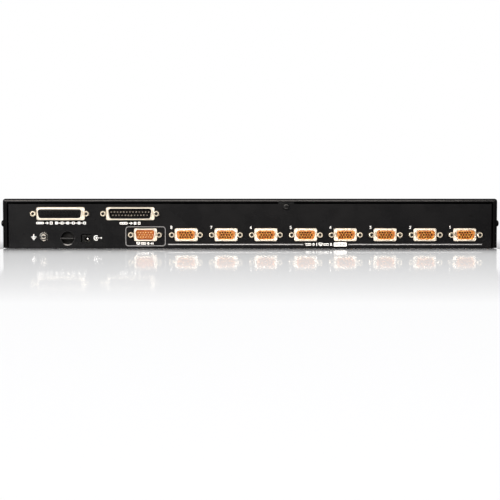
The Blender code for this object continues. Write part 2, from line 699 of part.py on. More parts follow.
def make_boards():
    """The main board on its standoffs, and the chain board on posts above it."""
    corner_holes = [circle(x, y, 1.7 * MM, 8) for x, y in standoff_places()]
    notch_reach = TIE_SLOT_R + 1.6 * MM
    left, right = TIE_SLOT[0] - notch_reach, TIE_SLOT[0] + notch_reach
    notch_front = Y_PANEL_BACK + TIE_CUP_DEPTH + 0.8 * MM
    outline = [
        (-MAIN_HALF, BOARD_REAR), (left, BOARD_REAR), (left, notch_front), (right, notch_front),
        (right, BOARD_REAR), (MAIN_HALF, BOARD_REAR), (MAIN_HALF, MAIN_FRONT), (-MAIN_HALF, MAIN_FRONT),
    ]  # fmt: skip
    prism("main_board", "green_board", facing_z, outline, MAIN_TOP - BOARD, MAIN_TOP, corner_holes)
    low, high = CHAIN_BOARD_X
    outline = span(low, BOARD_REAR, high, CHAIN_BOARD_FRONT)
    prism("chain_board", "green_board", facing_z, outline, CHAIN_TOP - BOARD, CHAIN_TOP)
    base, top = MAIN_TOP + SEAT_GAP, CHAIN_TOP - BOARD - SEAT_GAP
    row_y, post_inset, post_r = CHAIN_BOARD_FRONT - 6 * MM, 8 * MM, 2.8 * MM
    for name, x in (("left", low + post_inset), ("right", high - post_inset)):
        outline = circle(x, row_y, post_r, 6)
        prism(f"chain_board_post_{name}", "aluminium_can", facing_z, outline, base, top)
    on_main_board("board_link_header", "black_nylon", (low + high) / 2, row_y, 46 * MM, 5 * MM, top - base)
    on_main_board("processor_chip", "black_nylon", -20 * MM, -8 * MM, 20 * MM, 20 * MM, 1.6 * MM)
    on_main_board("video_switch_chip", "black_nylon", 70 * MM, -20 * MM, 28 * MM, 28 * MM, 2.2 * MM)
    x, y, radius, height, edge = -150 * MM, -8 * MM, 5 * MM, 12 * MM, 0.5 * MM
    can, rim = circle(x, y, radius), circle(x, y, radius - edge)
    rings = [(can, base), (can, base + height - edge), (rim, base + height)]
    smooth(solid("filter_capacitor", "aluminium_can", facing_z, [rings]))


def make_control_board():
    """The front board with a tactile switch soldered behind each button."""
    z_low, z_high = 6.0 * MM, 36.5 * MM
    outline = span(button_x(PORT_COUNT) - 14 * MM, z_low, USB[0] + 14 * MM, z_high)
    back = Y_FRONT_BOARD - BOARD
    switches = []
    for x in [RESET_X, *[button_x(n) for n in range(1, PORT_COUNT + 1)]]:
        body = rectangle(x, CONTROL_Z, SWITCH_BODY, SWITCH_BODY)
        switches.append([(body, Y_FRONT_BOARD), (body, Y_FRONT_BOARD + SWITCH_HEIGHT)])
    plate = [(outline, back), (outline, Y_FRONT_BOARD)]
    return solid("front_board", "green_board", facing_y, [plate], switches)


def make_ribbon():
    """A flat cable between a header on the main board and one on the back of the control board."""
    x, main_y = -62 * MM, 34 * MM
    board_back = Y_FRONT_BOARD - BOARD
    header_height, run_z = 9 * MM, 24.0 * MM
    header_width, header_depth = 32 * MM, 8 * MM
    on_main_board("main_board_header", "black_nylon", x, main_y, header_width, header_depth, header_height)
    header_back = board_back - SEAT_GAP
    header_face = header_back - header_height
    outline = rectangle(x, run_z, header_width, header_depth)
    prism("front_board_header", "black_nylon", facing_y, outline, header_face, header_back)
    start_z = MAIN_TOP + SEAT_GAP + header_height + GAP
    bend, steps = 6 * MM, 6
    line = [(main_y, start_z)]
    for i in range(steps + 1):
        angle = math.pi / 2 * i / steps
        line.append((main_y + bend * (1 - math.cos(angle)), run_z - bend + bend * math.sin(angle)))
    line.append((header_face - GAP, run_z))
    half, half_width = 0.45 * MM, 13 * MM
    upper, lower = [], []
    for i, point in enumerate(line):
        before, after = Vector(line[max(i - 1, 0)]), Vector(line[min(i + 1, len(line) - 1)])
        along = (after - before).normalized()
        upper.append((point[0] - along.y * half, point[1] + along.x * half))
        lower.append((point[0] + along.y * half, point[1] - along.x * half))
    outline = lower + upper[::-1]
    smooth(prism("ribbon_cable", "grey_cable", facing_x, outline, x - half_width, x + half_width), 50)


# ------------------------ front controls
def make_button(name, finish, x, cap_outline, flange_outline, face):
    """A key cap, the flange that keeps it in the bezel, and the stem that presses its switch."""
    crown = 0.5 * MM
    flange_front = Y_BEZEL_INNER - GAP
    flange_back = flange_front - 1.2 * MM
    stem_end = Y_FRONT_BOARD + SWITCH_HEIGHT + BUTTON_TRAVEL + GAP
    sides = len(cap_outline(0))
    stem = circle(x, CONTROL_Z, 1.75 * MM, sides)
    rings = [
        (stem, stem_end),
        (stem, flange_back),
        (flange_outline, flange_back),
        (flange_outline, flange_front),
        (cap_outline(0), flange_front),
        (cap_outline(0), face - crown),
        (cap_outline(crown), face),
    ]
    piece = solid(name, finish, facing_y, [rings])
    return smooth(move_origin(piece, (x, face, CONTROL_Z)))


def make_buttons():
    width, height = BUTTON_CAP
    step = 2.4 * MM  # the flange is this much wider and higher than the cap
    for number in range(1, PORT_COUNT + 1):
        x = button_x(number)

        def cap(inset, x=x):
            size = (width - 2 * inset, height - 2 * inset, BUTTON_CORNER - inset / 2)
            return rotated(rounded_rectangle(x, CONTROL_Z, *size, 1))

        flange = rotated(rounded_rectangle(x, CONTROL_Z, width + step, height + step, BUTTON_CORNER, 1))
        make_button(f"port_button_{number}", "grey_button", x, cap, flange, Y_FACE + BUTTON_PROUD)

    def round_cap(inset):
        return circle(RESET_X, CONTROL_Z, RESET_R - inset)

    flange = circle(RESET_X, CONTROL_Z, 3.4 * MM)
    make_button("reset_button", "grey_button", RESET_X, round_cap, flange, Y_FACE - 0.4 * MM)


def rotated(points):
    """The outline begun nearest the +U side, so that its points face those of a circle."""
    first = len(points) // 2 - 1
    return points[first:] + points[:first]


def make_light_pipes():
    """One clear moulding: a bar behind the bezel and a short rod into each of its round holes."""
    places = light_places()
    front = Y_BEZEL_INNER - GAP
    back = front - 1.6 * MM
    half, past = 2.4 * MM, 4 * MM
    bar = span(min(places) - past, LIGHT_Z - half, max(places) + past, LIGHT_Z + half)
    tip = Y_FACE + 0.2 * MM
    rods = []
    for x in places:
        rod, end = circle(x, LIGHT_Z, LIGHT_R, 6), circle(x, LIGHT_Z, LIGHT_R * 0.7, 6)
        rods.append([(rod, front), (rod, tip - 0.3 * MM), (end, tip)])
    return smooth(solid("light_pipe_bar", "clear_pipe", facing_y, [[(bar, back), (bar, front)]], rods))


def make_display():
    x, z, _, _ = DISPLAY
    back = Y_FRONT_BOARD + SEAT_GAP
    outline = rectangle(x, z, 25 * MM, 15 * MM)
    return prism("station_display", "white_plastic", facing_y, outline, back, back + 9.5 * MM)


def make_peripheral_socket():
    """The front socket for a peripheral: a steel sleeve and the contact tongue in it."""
    x, z, width, height = USB
    wall = 0.35 * MM
    back, front = Y_FRONT_BOARD + SEAT_GAP, Y_FACE - 0.2 * MM
    sleeve = rounded_rectangle(x, z, width, height, 0.5 * MM, 1)
    bore = rounded_rectangle(x, z, width - 2 * wall, height - 2 * wall, 0.3 * MM, 1)
    prism("usb_port_shell", "nickel", facing_y, sleeve, back, front, [bore])
    block = rectangle(x, z, width - 2 * wall - 2 * FINE_GAP, height - 2 * wall - 2 * FINE_GAP)
    tongue = rectangle(x, z + 1.05 * MM, 11.1 * MM, 1.85 * MM)
    rings = [(block, back), (block, back + 3 * MM), (tongue, back + 3 * MM), (tongue, front - 1.0 * MM)]
    solid("usb_port_tongue", "white_plastic", facing_y, [rings])


def clear_scene():
    for thing in list(bpy.data.objects):
        bpy.data.objects.remove(thing)


def main():
    clear_scene()
    make_base_chassis()
    make_top_cover()
    make_front_bezel()
    make_display_window()
    make_screws()
    make_rear_connectors()
    make_power_socket()
    make_boards()
    make_control_board()
    make_ribbon()
    make_buttons()
    make_light_pipes()
    make_display()
    make_peripheral_socket()


main()
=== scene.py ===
"""The looks of an eight-port rack KVM switch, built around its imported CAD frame.

Fine pieces stand in for the frame's connectors, screws, cover, display and keys. Their places come from the
frame's own boxes; the printed signs have places of their own on the panel. Shapes are worked out in
millimetres and made in metres.
"""

from math import atan, cos, pi, radians, sin, tan

import bmesh
import bpy
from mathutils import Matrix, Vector
from mathutils.geometry import tessellate_polygon


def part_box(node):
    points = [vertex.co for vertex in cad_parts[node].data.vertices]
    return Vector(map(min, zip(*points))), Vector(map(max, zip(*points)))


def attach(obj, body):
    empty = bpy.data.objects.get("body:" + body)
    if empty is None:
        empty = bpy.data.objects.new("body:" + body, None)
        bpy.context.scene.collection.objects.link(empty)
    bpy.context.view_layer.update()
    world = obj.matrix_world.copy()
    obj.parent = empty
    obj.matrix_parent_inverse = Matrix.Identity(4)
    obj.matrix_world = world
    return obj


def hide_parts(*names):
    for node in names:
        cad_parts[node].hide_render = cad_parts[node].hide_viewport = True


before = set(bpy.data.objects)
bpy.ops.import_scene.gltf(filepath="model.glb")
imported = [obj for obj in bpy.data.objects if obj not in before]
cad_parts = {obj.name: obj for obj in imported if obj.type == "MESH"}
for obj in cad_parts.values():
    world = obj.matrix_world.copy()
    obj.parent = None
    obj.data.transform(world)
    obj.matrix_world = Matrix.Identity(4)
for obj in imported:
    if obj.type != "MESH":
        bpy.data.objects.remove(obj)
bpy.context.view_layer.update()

MM = 0.001
NEAR_NOTHING = 1e-6
PORTS = range(1, 9)
BODY = "enclosure"

def box_of(node):
    """The low and high corner of a node's box, in millimetres."""
    low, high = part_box(node)
    return low / MM, high / MM


def box_and_middle(node):
    """A node's box, and the x and z of its middle."""
    low, high = box_of(node)
    return low, high, (low.x + high.x) / 2, (low.z + high.z) / 2


# ---- planes read from the frame
COVER_LOW, COVER_HIGH = box_of("top_cover")
BEZEL_LOW, BEZEL_HIGH = box_of("front_bezel")
CHASSIS_LOW, CHASSIS_HIGH = box_of("base_chassis")
HALF = COVER_HIGH.x
HEIGHT = COVER_HIGH.z
COVER_FOOT = COVER_LOW.z
Y_REAR = COVER_LOW.y
Y_WALL = COVER_HIGH.y
Y_PANEL = CHASSIS_LOW.y
Y_FACE = BEZEL_HIGH.y
Y_BEZEL_BACK = BEZEL_LOW.y
SHEET = 1.0
Y_PANEL_BACK = Y_PANEL + SHEET
GAP = 0.3
BEZEL_WALL = 2.2

# ---- sizes of standard pieces
SMALL_SPACING = 24.99
LARGE_SPACING = 47.04
SHELL_EXTRA = 22.05
SHELL_SLOPE = tan(radians(10))
SHELL_WALL = 0.42
SOCKET_SHELL = (17.9, 8.8, 6.1)
PLUG_SHELL = (18.8, 9.9, 5.9)
FLANGE = 0.8


# ---- planes: each turns an outline's u, v and depth w into a point
def facing_y(u, v, w):
    return (u * MM, w * MM, v * MM)


def facing_x(u, v, w):
    return (w * MM, u * MM, v * MM)


# ---- outlines, each a function of how far it is drawn in
def rounded(corners, radius, steps):
    """The outline with each corner replaced by an arc."""
    points = []
    for i, corner in enumerate(corners):
        here = Vector(corner)
        back = (Vector(corners[i - 1]) - here).normalized()
        ahead = (Vector(corners[(i + 1) % len(corners)]) - here).normalized()
        half_angle = back.angle(ahead) / 2
        centre = here + (back + ahead).normalized() * radius / sin(half_angle)
        start = here + back * radius / tan(half_angle) - centre
        end = here + ahead * radius / tan(half_angle) - centre
        sweep = start.angle_signed(end)
        for step in range(steps + 1):
            turn = -sweep * step / steps
            along, aside = cos(turn), sin(turn)
            swung = Vector((start.x * along - start.y * aside, start.x * aside + start.y * along))
            points.append(tuple(centre + swung))
    return points


def slab(cu, cv, width, height, radius, steps=5):
    """A rectangle with round corners."""

    def outline(inset=0.0):
        a, b = width / 2 - inset, height / 2 - inset
        corners = [(cu - a, cv - b), (cu + a, cv - b), (cu + a, cv + b), (cu - a, cv + b)]
        return rounded(corners, max(radius - inset, 0.02), steps)

    return outline


def disc(cu, cv, radius, sides=24):
    turn = 2 * pi / sides

    def outline(inset=0.0):
        reach = radius - inset
        angles = [(i + 0.5) * turn for i in range(sides)]
        return [(cu + reach * cos(a), cv + reach * sin(a)) for a in angles]

    return outline


def hexagon(cu, cv, radius, round_to, per_side=4):
    """A hexagon whose corners are turned down to round_to, which is how a chamfered nut ends."""

    def outline(inset=0.0):
        points = []
        for i in range(6 * per_side):
            angle = pi / 3 * (i / per_side) + pi / 6
            off_corner = (angle - pi / 6) % (pi / 3) - pi / 6
            flat = radius * cos(pi / 6) / cos(off_corner)
            reach = min(flat, round_to) - inset
            points.append((cu + reach * cos(angle), cv + reach * sin(angle)))
        return points

    return outline


def dee(cu, cv, width, height, radius=2.4, steps=5):
    """A D-subminiature outline, wide side up."""

    def outline(inset=0.0):
        half = height / 2 - inset
        slant = inset / cos(atan(SHELL_SLOPE))
        top = width / 2 - slant - SHELL_SLOPE * inset
        bottom = top - SHELL_SLOPE * 2 * half
        low, high = cv - half, cv + half
        corners = [(cu - bottom, low), (cu + bottom, low), (cu + top, high), (cu - top, high)]
        return rounded(corners, max(radius - inset, 0.05), steps)

    return outline


def cross(cu, cv, reach, arm, turn=0.0):
    """The mouth of a cross recess."""
    half = arm / 2
    quarter = [(half, half), (half, reach), (-half, reach)]

    def outline(inset=0.0):
        scale = 1 - inset / reach
        points = []
        for i in range(4):
            angle = turn + i * pi / 2
            along, aside = scale * cos(angle), scale * sin(angle)
            points += [(cu + u * along - v * aside, cv + u * aside + v * along) for u, v in quarter]
        return points

    return outline


def stroke(points, width):
    """The outline of a line of that width through the points, with mitred bends."""
    half = width / 2
    near, far = [], []
    for i, point in enumerate(points):
        here = Vector(point)
        ahead = (Vector(points[i + 1]) - here).normalized() if i + 1 < len(points) else None
        back = (here - Vector(points[i - 1])).normalized() if i else ahead
        ahead = ahead or back
        across = (back + ahead).normalized().orthogonal()
        reach = half / max(across.dot(ahead.orthogonal()), 0.4)
        near.append(tuple(here + across * reach))
        far.append(tuple(here - across * reach))
    return near + far[::-1]


# ---- runs of rings
def edged(shape, low, high, edge, steps=2):
    """An outline carried from low to high with its rims rounded. A negative edge opens a hole's mouths."""
    up = 1 if high > low else -1
    arc = quarter_turn(steps)
    size = abs(edge)
    rings = [(shape(edge * (1 - sin(a))), low + up * size * (1 - cos(a))) for a in arc]
    return rings + [(shape(edge * (1 - sin(a))), high - up * size * (1 - cos(a))) for a in reversed(arc)]


def quarter_turn(steps):
    return [pi / 2 * i / steps for i in range(steps + 1)]


def straight(shape, low, high):
    return [(shape(), low), (shape(), high)]


# ---- meshes
def fill(mesh, loops):
    """Closes a flat area between an outer loop and the holes in it."""
    vertices = [vertex for loop in loops for vertex in loop]
    for corners in tessellate_polygon([[vertex.co for vertex in loop] for loop in loops]):
        mesh.faces.new([vertices[i] for i in corners])


def add_solid(mesh, facing, outlines, features=()):
    """Adds one closed solid to the mesh.

    An outline is a list of rings, (points, depth), from the start face to the end face. The first is the
    outside and the others are holes right through. A feature begins in the start or the end face and is
    closed at its last ring, so it is a blind hole or a stud.
    """
    before = len(mesh.faces)
    start_depth = outlines[0][0][1]
    start_loops, end_loops = [], []

    def raise_walls(profile):
        rings = [[mesh.verts.new(facing(u, v, w)) for u, v in points] for points, w in profile]
        for low, high in zip(rings, rings[1:]):
            for i in range(len(low)):
                j = (i + 1) % len(low)
                mesh.faces.new((low[i], low[j], high[j], high[i]))
        return rings

    for outline in outlines:
        rings = raise_walls(outline)
        start_loops.append(rings[0])
        end_loops.append(rings[-1])
    for feature in features:
        rings = raise_walls(feature)
        fill(mesh, [rings[-1]])
        starts_here = abs(feature[0][1] - start_depth) < NEAR_NOTHING
        (start_loops if starts_here else end_loops).append(rings[0])
    fill(mesh, start_loops)
    fill(mesh, end_loops)
    mesh.faces.ensure_lookup_table()
    bmesh.ops.recalc_face_normals(mesh, faces=mesh.faces[before:])


def finish_piece(name, mesh, material, body=BODY, slot=None, smooth=35, replaces=()):
    data = bpy.data.meshes.new(name)
    mesh.to_mesh(data)
    mesh.free()
    data.materials.append(material)
    data.shade_smooth()
    data.set_sharp_from_angle(angle=radians(smooth))
    piece = bpy.data.objects.new(name, data)
    bpy.context.scene.collection.objects.link(piece)
    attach(piece, body)
    if replaces:
        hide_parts(*replaces)
    return piece


def make_piece(name, material, solids, facing=facing_y, **options):
    """One piece made of closed solids, each given as (outlines, features)."""
    mesh = bmesh.new()
    for outlines, features in solids:
        add_solid(mesh, facing, outlines, features)
    return finish_piece(name, mesh, material, **options)


# ---- shader nodes
def add_node(tree, kind, **values):
    """A new node with its sockets, and where there is no such socket its settings, set by name."""
    made = tree.nodes.new(kind)
    for key, value in values.items():
        socket = key.replace("_", " ")
        if socket in made.inputs:
            made.inputs[socket].default_value = value
        else:
            setattr(made, key, value)
    return made


def add_range(tree, from_low, from_high, to_low, to_high):
    limits = {"From_Min": from_low, "From_Max": from_high, "To_Min": to_low, "To_Max": to_high}
    return add_node(tree, "ShaderNodeMapRange", **limits)


def scaled(colour, share):
    return tuple(c * share for c in colour)


# ---- materials
class Finish:
    """A Principled material whose colour, roughness and relief vary with the place on the object."""

    def __init__(self, name, colour, roughness, metallic=0.0, **constants):
        self.material = bpy.data.materials.new(name)
        self.material.use_nodes = True
        self.tree = self.material.node_tree
        self.shader = self.tree.nodes["Principled BSDF"]
        self.colour = colour
        self.shader.inputs["Base Color"].default_value = (*colour, 1.0)
        self.shader.inputs["Roughness"].default_value = roughness
        self.shader.inputs["Metallic"].default_value = metallic
        for socket, value in constants.items():
            self.shader.inputs[socket.replace("_", " ")].default_value = value
        self.coordinates = self.node("ShaderNodeTexCoord").outputs["Object"]
        self.height = None

    def node(self, kind, **values):
        return add_node(self.tree, kind, **values)

    def link(self, output, target):
        self.tree.links.new(output, target)

    def along(self, axis):
        """The place along one axis, in metres."""
        split = self.node("ShaderNodeSeparateXYZ")
        self.link(self.coordinates, split.inputs[0])
        return split.outputs[axis]

    def noise(self, scale, detail, stretch=(1, 1, 1)):
        mapping = self.node("ShaderNodeMapping", Scale=stretch)
        self.link(self.coordinates, mapping.inputs["Vector"])
        texture = self.node("ShaderNodeTexNoise", Scale=scale, Detail=detail)
        self.link(mapping.outputs["Vector"], texture.inputs["Vector"])
        return texture.outputs["Fac"]

    def cells(self, scale):
        texture = self.node("ShaderNodeTexVoronoi", feature="F1", Scale=scale)
        self.link(self.coordinates, texture.inputs["Vector"])
        return texture.outputs["Distance"]

    def ranged(self, value, low, high, from_low=0.3, from_high=0.7):
        ramp = add_range(self.tree, from_low, from_high, low, high)
        self.link(value, ramp.inputs["Value"])
        return ramp.outputs["Result"]

    def tint(self, value, other, low=0.3, high=0.7, most=1.0):
        """The colour so far turns towards other where the value is high."""
        mix = self.node("ShaderNodeMix", data_type="RGBA")
        before, after = [socket for socket in mix.inputs if socket.type == "RGBA"]
        source = self.shader.inputs["Base Color"]
        if source.links:
            self.link(source.links[0].from_socket, before)
        else:
            before.default_value = (*self.colour, 1.0)
        after.default_value = (*other, 1.0)
        self.link(self.ranged(value, 0.0, most, low, high), mix.inputs["Factor"])
        self.link([socket for socket in mix.outputs if socket.type == "RGBA"][0], source)
        return self

    def vary_roughness(self, value, low, high):
        self.link(self.ranged(value, low, high), self.shader.inputs["Roughness"])
        return self

    def relief(self, value, depth, strength=1.0):
        """Adds a bump of that depth in metres."""
        bump = self.node("ShaderNodeBump", Strength=strength, Distance=depth)
        self.link(value, bump.inputs["Height"])
        if self.height is not None:
            self.link(self.height, bump.inputs["Normal"])
        self.height = bump.outputs["Normal"]
        self.link(self.height, self.shader.inputs["Normal"])
        return self

    def emit(self, colour, strength):
        self.shader.inputs["Emission Color"].default_value = (*colour, 1.0)
        self.shader.inputs["Emission Strength"].default_value = strength
        return self


def powder_coat(name, colour, roughness, specular):
    """Black powder coat: an orange-peel skin with finer grains in it."""
    made = Finish(name, colour, roughness, Specular_IOR_Level=specular)
    made.tint(made.noise(38, 4), scaled(colour, 1.5), 0.35, 0.75, 0.6)
    made.tint(made.cells(2600), scaled(colour, 2.4), 0.0, 0.9, 0.35)
    made.vary_roughness(made.noise(55, 4), roughness * 0.88, roughness * 1.12)
    made.relief(made.noise(900, 3), 0.03 * MM, 0.5)
    made.relief(made.cells(2600), 0.012 * MM, 0.45)
    return made.material


def plated(name, colour, roughness, metallic, stretch):
    """Plated sheet metal: faint drawing marks and a cloudy plating."""
    made = Finish(name, colour, roughness, metallic)
    made.tint(made.noise(420, 4), scaled(colour, 0.72), 0.4, 0.75, 0.5)
    made.vary_roughness(made.noise(700, 4, stretch), roughness * 0.75, roughness * 1.3)
    made.relief(made.noise(1500, 3, stretch), 0.006 * MM, 0.35)
    return made.material


def moulded(name, colour, roughness, grain=1400, depth=0.012, **constants):
    """Moulded plastic: a fine spark-eroded grain and a little unevenness of colour."""
    made = Finish(name, colour, roughness, **constants)
    made.tint(made.noise(160, 3), scaled(colour, 0.78), 0.35, 0.7, 0.6)
    made.vary_roughness(made.noise(240, 3), roughness * 0.85, roughness * 1.15)
    made.relief(made.noise(grain, 3), depth * MM, 0.5)
    return made.material


def nylon_with_painted_highlights(name, colour, highlight_colour, roughness):
    """Moulded nylon with painted highlights: lighter patches about as wide as the space between two contacts.
    """
    made = Finish(name, colour, roughness, Specular_IOR_Level=0.15)
    # Painted highlight: the lighter patches stand for light caught on the face between the contact holes.
    made.tint(made.noise(620, 1), highlight_colour, 0.48, 0.60, 0.75)
    made.tint(made.noise(160, 3), scaled(colour, 0.8), 0.45, 0.75, 0.4)
    made.vary_roughness(made.noise(240, 3), roughness * 0.85, roughness * 1.15)
    made.relief(made.noise(1600, 3), 0.01 * MM, 0.5)
    return made.material


def slot_coat_with_painted_highlights(name, colour, roughness, specular):
    """The cable-tie slot's coat, with a grey painted highlight low down and a paler one on the strap."""
    made = Finish(name, colour, roughness, Specular_IOR_Level=specular)
    made.tint(made.cells(2600), scaled(colour, 2.4), 0.0, 0.9, 0.35)
    # Painted highlight: grey from 4.1 mm down, where the slot's lower lip faces the light from above.
    made.tint(made.along("Z"), (0.26, 0.25, 0.24), 4.1 * MM, 3.3 * MM, 0.9)
    # Painted highlight: a paler line along the strap's crest, about 8.75 mm up.
    strap_highlight = made.node("ShaderNodeMath", operation="COMPARE")
    strap_highlight.inputs[1].default_value = 8.75 * MM
    strap_highlight.inputs[2].default_value = 0.28 * MM
    made.link(made.along("Z"), strap_highlight.inputs[0])
    made.tint(strap_highlight.outputs[0], (0.045, 0.044, 0.043), 0.0, 1.0, 0.9)
    made.vary_roughness(made.noise(300, 3), roughness * 0.85, roughness * 1.15)
    made.relief(made.noise(900, 3), 0.03 * MM, 0.4)
    return made.material


def cover_coat_with_painted_shade(name, colour, roughness, specular):
    """The cover's coat: greyer over the sheet, and painted deep black on the fold round the panel as shade.
    """
    made = Finish(name, colour, roughness, Specular_IOR_Level=specular)
    made.tint(made.noise(38, 4), scaled(colour, 1.5), 0.35, 0.75, 0.6)
    # Painted shade: the deep black base colour holds up to 2.5 mm from the rear edge and turns greyer by 5
    # mm.
    made.tint(made.along("Y"), (0.016, 0.016, 0.0175), (Y_REAR + 2.5) * MM, (Y_REAR + 5.0) * MM, 1.0)
    made.tint(made.cells(2600), (0.022, 0.022, 0.024), 0.0, 0.9, 0.06)
    made.vary_roughness(made.noise(55, 4), roughness * 0.96, roughness * 1.04)
    made.relief(made.noise(900, 3), 0.03 * MM, 0.4)
    made.relief(made.cells(2600), 0.012 * MM, 0.4)
    return made.material


def board_mask(name):
    """Green solder mask with paler copper runs under it."""
    made = Finish(name, (0.008, 0.085, 0.035), 0.32, Coat_Weight=0.4, Coat_Roughness=0.12)
    runs = made.node("ShaderNodeTexBrick", Scale=90, Mortar_Size=0.06,
                     Color1=(0, 0, 0, 1), Color2=(0, 0, 0, 1), Mortar=(1, 1, 1, 1))
    made.link(made.coordinates, runs.inputs["Vector"])
    made.tint(runs.outputs["Color"], (0.02, 0.17, 0.06), 0.2, 0.8, 0.8)
    made.tint(made.noise(120, 3), (0.006, 0.06, 0.026), 0.4, 0.8, 0.5)
    made.vary_roughness(made.noise(200, 3), 0.26, 0.40)
    made.relief(runs.outputs["Color"], 0.03 * MM, 0.5)
    return made.material


def see_through(name, colour, roughness, weight=1.0):
    """Clear or smoked plastic with faint flow marks."""
    made = Finish(name, colour, roughness, Transmission_Weight=weight, IOR=1.49)
    made.tint(made.noise(90, 3), scaled(colour, 0.85), 0.35, 0.7, 0.5)
    made.vary_roughness(made.noise(140, 3), roughness * 0.7, roughness * 1.4)
    made.relief(made.noise(60, 2), 0.01 * MM, 0.2)
    return made.material


def glowing(name, colour, strength):
    made = Finish(name, scaled(colour, 0.5), 0.35)
    made.tint(made.noise(900, 2), scaled(colour, 0.4), 0.4, 0.7, 0.5)
    made.vary_roughness(made.noise(700, 2), 0.3, 0.42)
    made.relief(made.noise(1200, 2), 0.01 * MM, 0.3)
    return made.emit(colour, strength).material


STEEL = powder_coat("powder_coated_panel", (0.0016, 0.0016, 0.0019), 0.28, 0.058)
# Painted shade: the folds are deep black, the side fold darker than the top, all greyer away from the rim.
COVER_TOP = cover_coat_with_painted_shade("powder_coated_top_fold", (0.0010, 0.0010, 0.0012), 0.22, 0.12)
COVER_SIDE = cover_coat_with_painted_shade("powder_coated_side_fold", (0.0005, 0.0005, 0.0006), 0.60, 0.02)
COVER_SHEET = cover_coat_with_painted_shade("powder_coated_sheet", (0.0010, 0.0010, 0.0012), 0.55, 0.015)
SLOT_COAT_HIGHLIGHTED = slot_coat_with_painted_highlights("slot_coat_painted_highlights", (0.0016, 0.0016, 0.0019), 0.38, 0.05)
BEZEL = moulded("bezel_plastic", (0.016, 0.016, 0.0175), 0.50, 1700, 0.02, Specular_IOR_Level=0.06)
TIN = plated("tinned_flange", (0.78, 0.71, 0.60), 0.42, 0.10, (1, 30, 1))
# Painted shade: a darker copy of the tin for the small sockets' tubes, painted as the dark ring round their
# inserts.
TUBE = plated("tinned_tube", (0.34, 0.28, 0.22), 0.24, 0.9, (1, 30, 1))
NICKEL = plated("nickel_nut", (0.52, 0.46, 0.36), 0.22, 0.8, (1, 14, 1))
BRIGHT = plated("bright_steel", (0.74, 0.73, 0.71), 0.22, 1.0, (1, 20, 1))
ZINC = plated("zinc_screw", (0.075, 0.072, 0.066), 0.13, 1.0, (8, 1, 1))
GOLD = plated("gold_contact", (0.86, 0.62, 0.26), 0.26, 1.0, (1, 10, 1))
PALE_GOLD = plated("pale_gold_pin", (0.74, 0.53, 0.21), 0.35, 0.4, (1, 10, 1))
# Painted shade: pins and contacts darkened where they sit deep in the chain connectors and the power socket.
DIM_PIN = plated("shade_dimmed_pin", (0.24, 0.205, 0.17), 0.30, 0.9, (1, 10, 1))
# The inserts' lighter patches are painted highlights.
ORANGE = nylon_with_painted_highlights("orange_nylon", (0.32, 0.085, 0.005), (0.55, 0.27, 0.048), 0.42)
AMBER = nylon_with_painted_highlights("amber_nylon", (0.26, 0.054, 0.0025), (0.38, 0.130, 0.014), 0.40)
BLACK_NYLON = moulded("black_nylon", (0.010, 0.010, 0.010), 0.48)
DEEP_BLACK = moulded("jack_nylon", (0.002, 0.002, 0.002), 0.30, Specular_IOR_Level=0.045)
SIDE_SCREW = moulded("side_screw", (0.0015, 0.0015, 0.0016), 0.45, 2200, 0.006, Specular_IOR_Level=0.06)
DARK_SCREW = moulded("black_screw", (0.003, 0.003, 0.0034), 0.28, 2200, 0.006, Specular_IOR_Level=0.09)
INK = moulded("white_ink", (0.86, 0.86, 0.84), 0.55, 2600, 0.004)
RULE_INK = moulded("rule_ink", (0.23, 0.23, 0.235), 0.55, 2600, 0.004)
BOX_INK = moulded("outline_ink", (0.17, 0.17, 0.175), 0.55, 2600, 0.004)
GREY_INK = moulded("grey_ink", (0.36, 0.36, 0.37), 0.55, 2600, 0.004)
DARK_INK = moulded("dark_ink", (0.03, 0.03, 0.035), 0.5, 2600, 0.004)
# Painted shade: black for the insides of holes and pockets.
SHADE_BLACK = moulded("painted_shade_black", (0.003, 0.003, 0.003), 0.85, Specular_IOR_Level=0.1)
KEY = moulded("grey_key", (0.42, 0.43, 0.45), 0.36, 1500, 0.015)
WHITE = moulded("white_plastic", (0.76, 0.76, 0.74), 0.42)
BOARD_MASK = board_mask("solder_mask")
CHIP = moulded("chip_resin", (0.018, 0.018, 0.020), 0.55, 2200, 0.02)
CAN = plated("aluminium_can", (0.78, 0.79, 0.81), 0.30, 1.0, (1, 1, 12))
CABLE = moulded("cable_jacket", (0.36, 0.38, 0.41), 0.55, 900, 0.02)
CLEAR = see_through("clear_pipe", (0.90, 0.93, 0.95), 0.12)
SMOKED = see_through("smoked_window", (0.16, 0.03, 0.03), 0.06, 0.95)
GREEN_GLOW = glowing("green_light", (0.10, 1.0, 0.25), 2.2)
AMBER_GLOW = glowing("amber_light", (1.0, 0.42, 0.05), 1.2)
RED_GLOW = glowing("red_segment", (1.0, 0.06, 0.03), 3.0)


# ---- places of the connectors
def centre_of(node):
    low, high = box_of(node)
    return (low + high) / 2


def connectors():
    """Name, shell node, insulator node, screwlock spacing and whether it holds pins."""
    found = [
        ("chain_in", "chain_in_insulator", LARGE_SPACING, False),
        ("chain_out", "chain_out_pin_block", LARGE_SPACING, True),
        ("console", "console_pin_block", SMALL_SPACING, True),
    ]
    found += [(f"kvm_port_{n}", f"kvm_port_{n}_insulator", SMALL_SPACING, False) for n in PORTS]
    return found


# by number of ways: the contacts in each row, their pitch and the pitch of the rows
CONTACTS = {25: ((13, 12), 2.76, 2.84), 15: ((5, 5, 5), 2.29, 1.98), 18: ((6, 6, 6), 2.29, 1.98)}


def contact_places(x, z, ways):
    """Contact centres, with every other row of three shifted against its neighbours."""
    rows, pitch, row_pitch = CONTACTS[ways]
    places = []
    for row, count in enumerate(rows):
        height = z + (0.5 * (len(rows) - 1) - row) * row_pitch
        shift = 0.0 if ways == 25 else (0.25 if row % 2 else -0.25)
        for i in range(count):
            places.append((x + ((count - 1) / 2 - i + shift) * pitch, height))
    return places


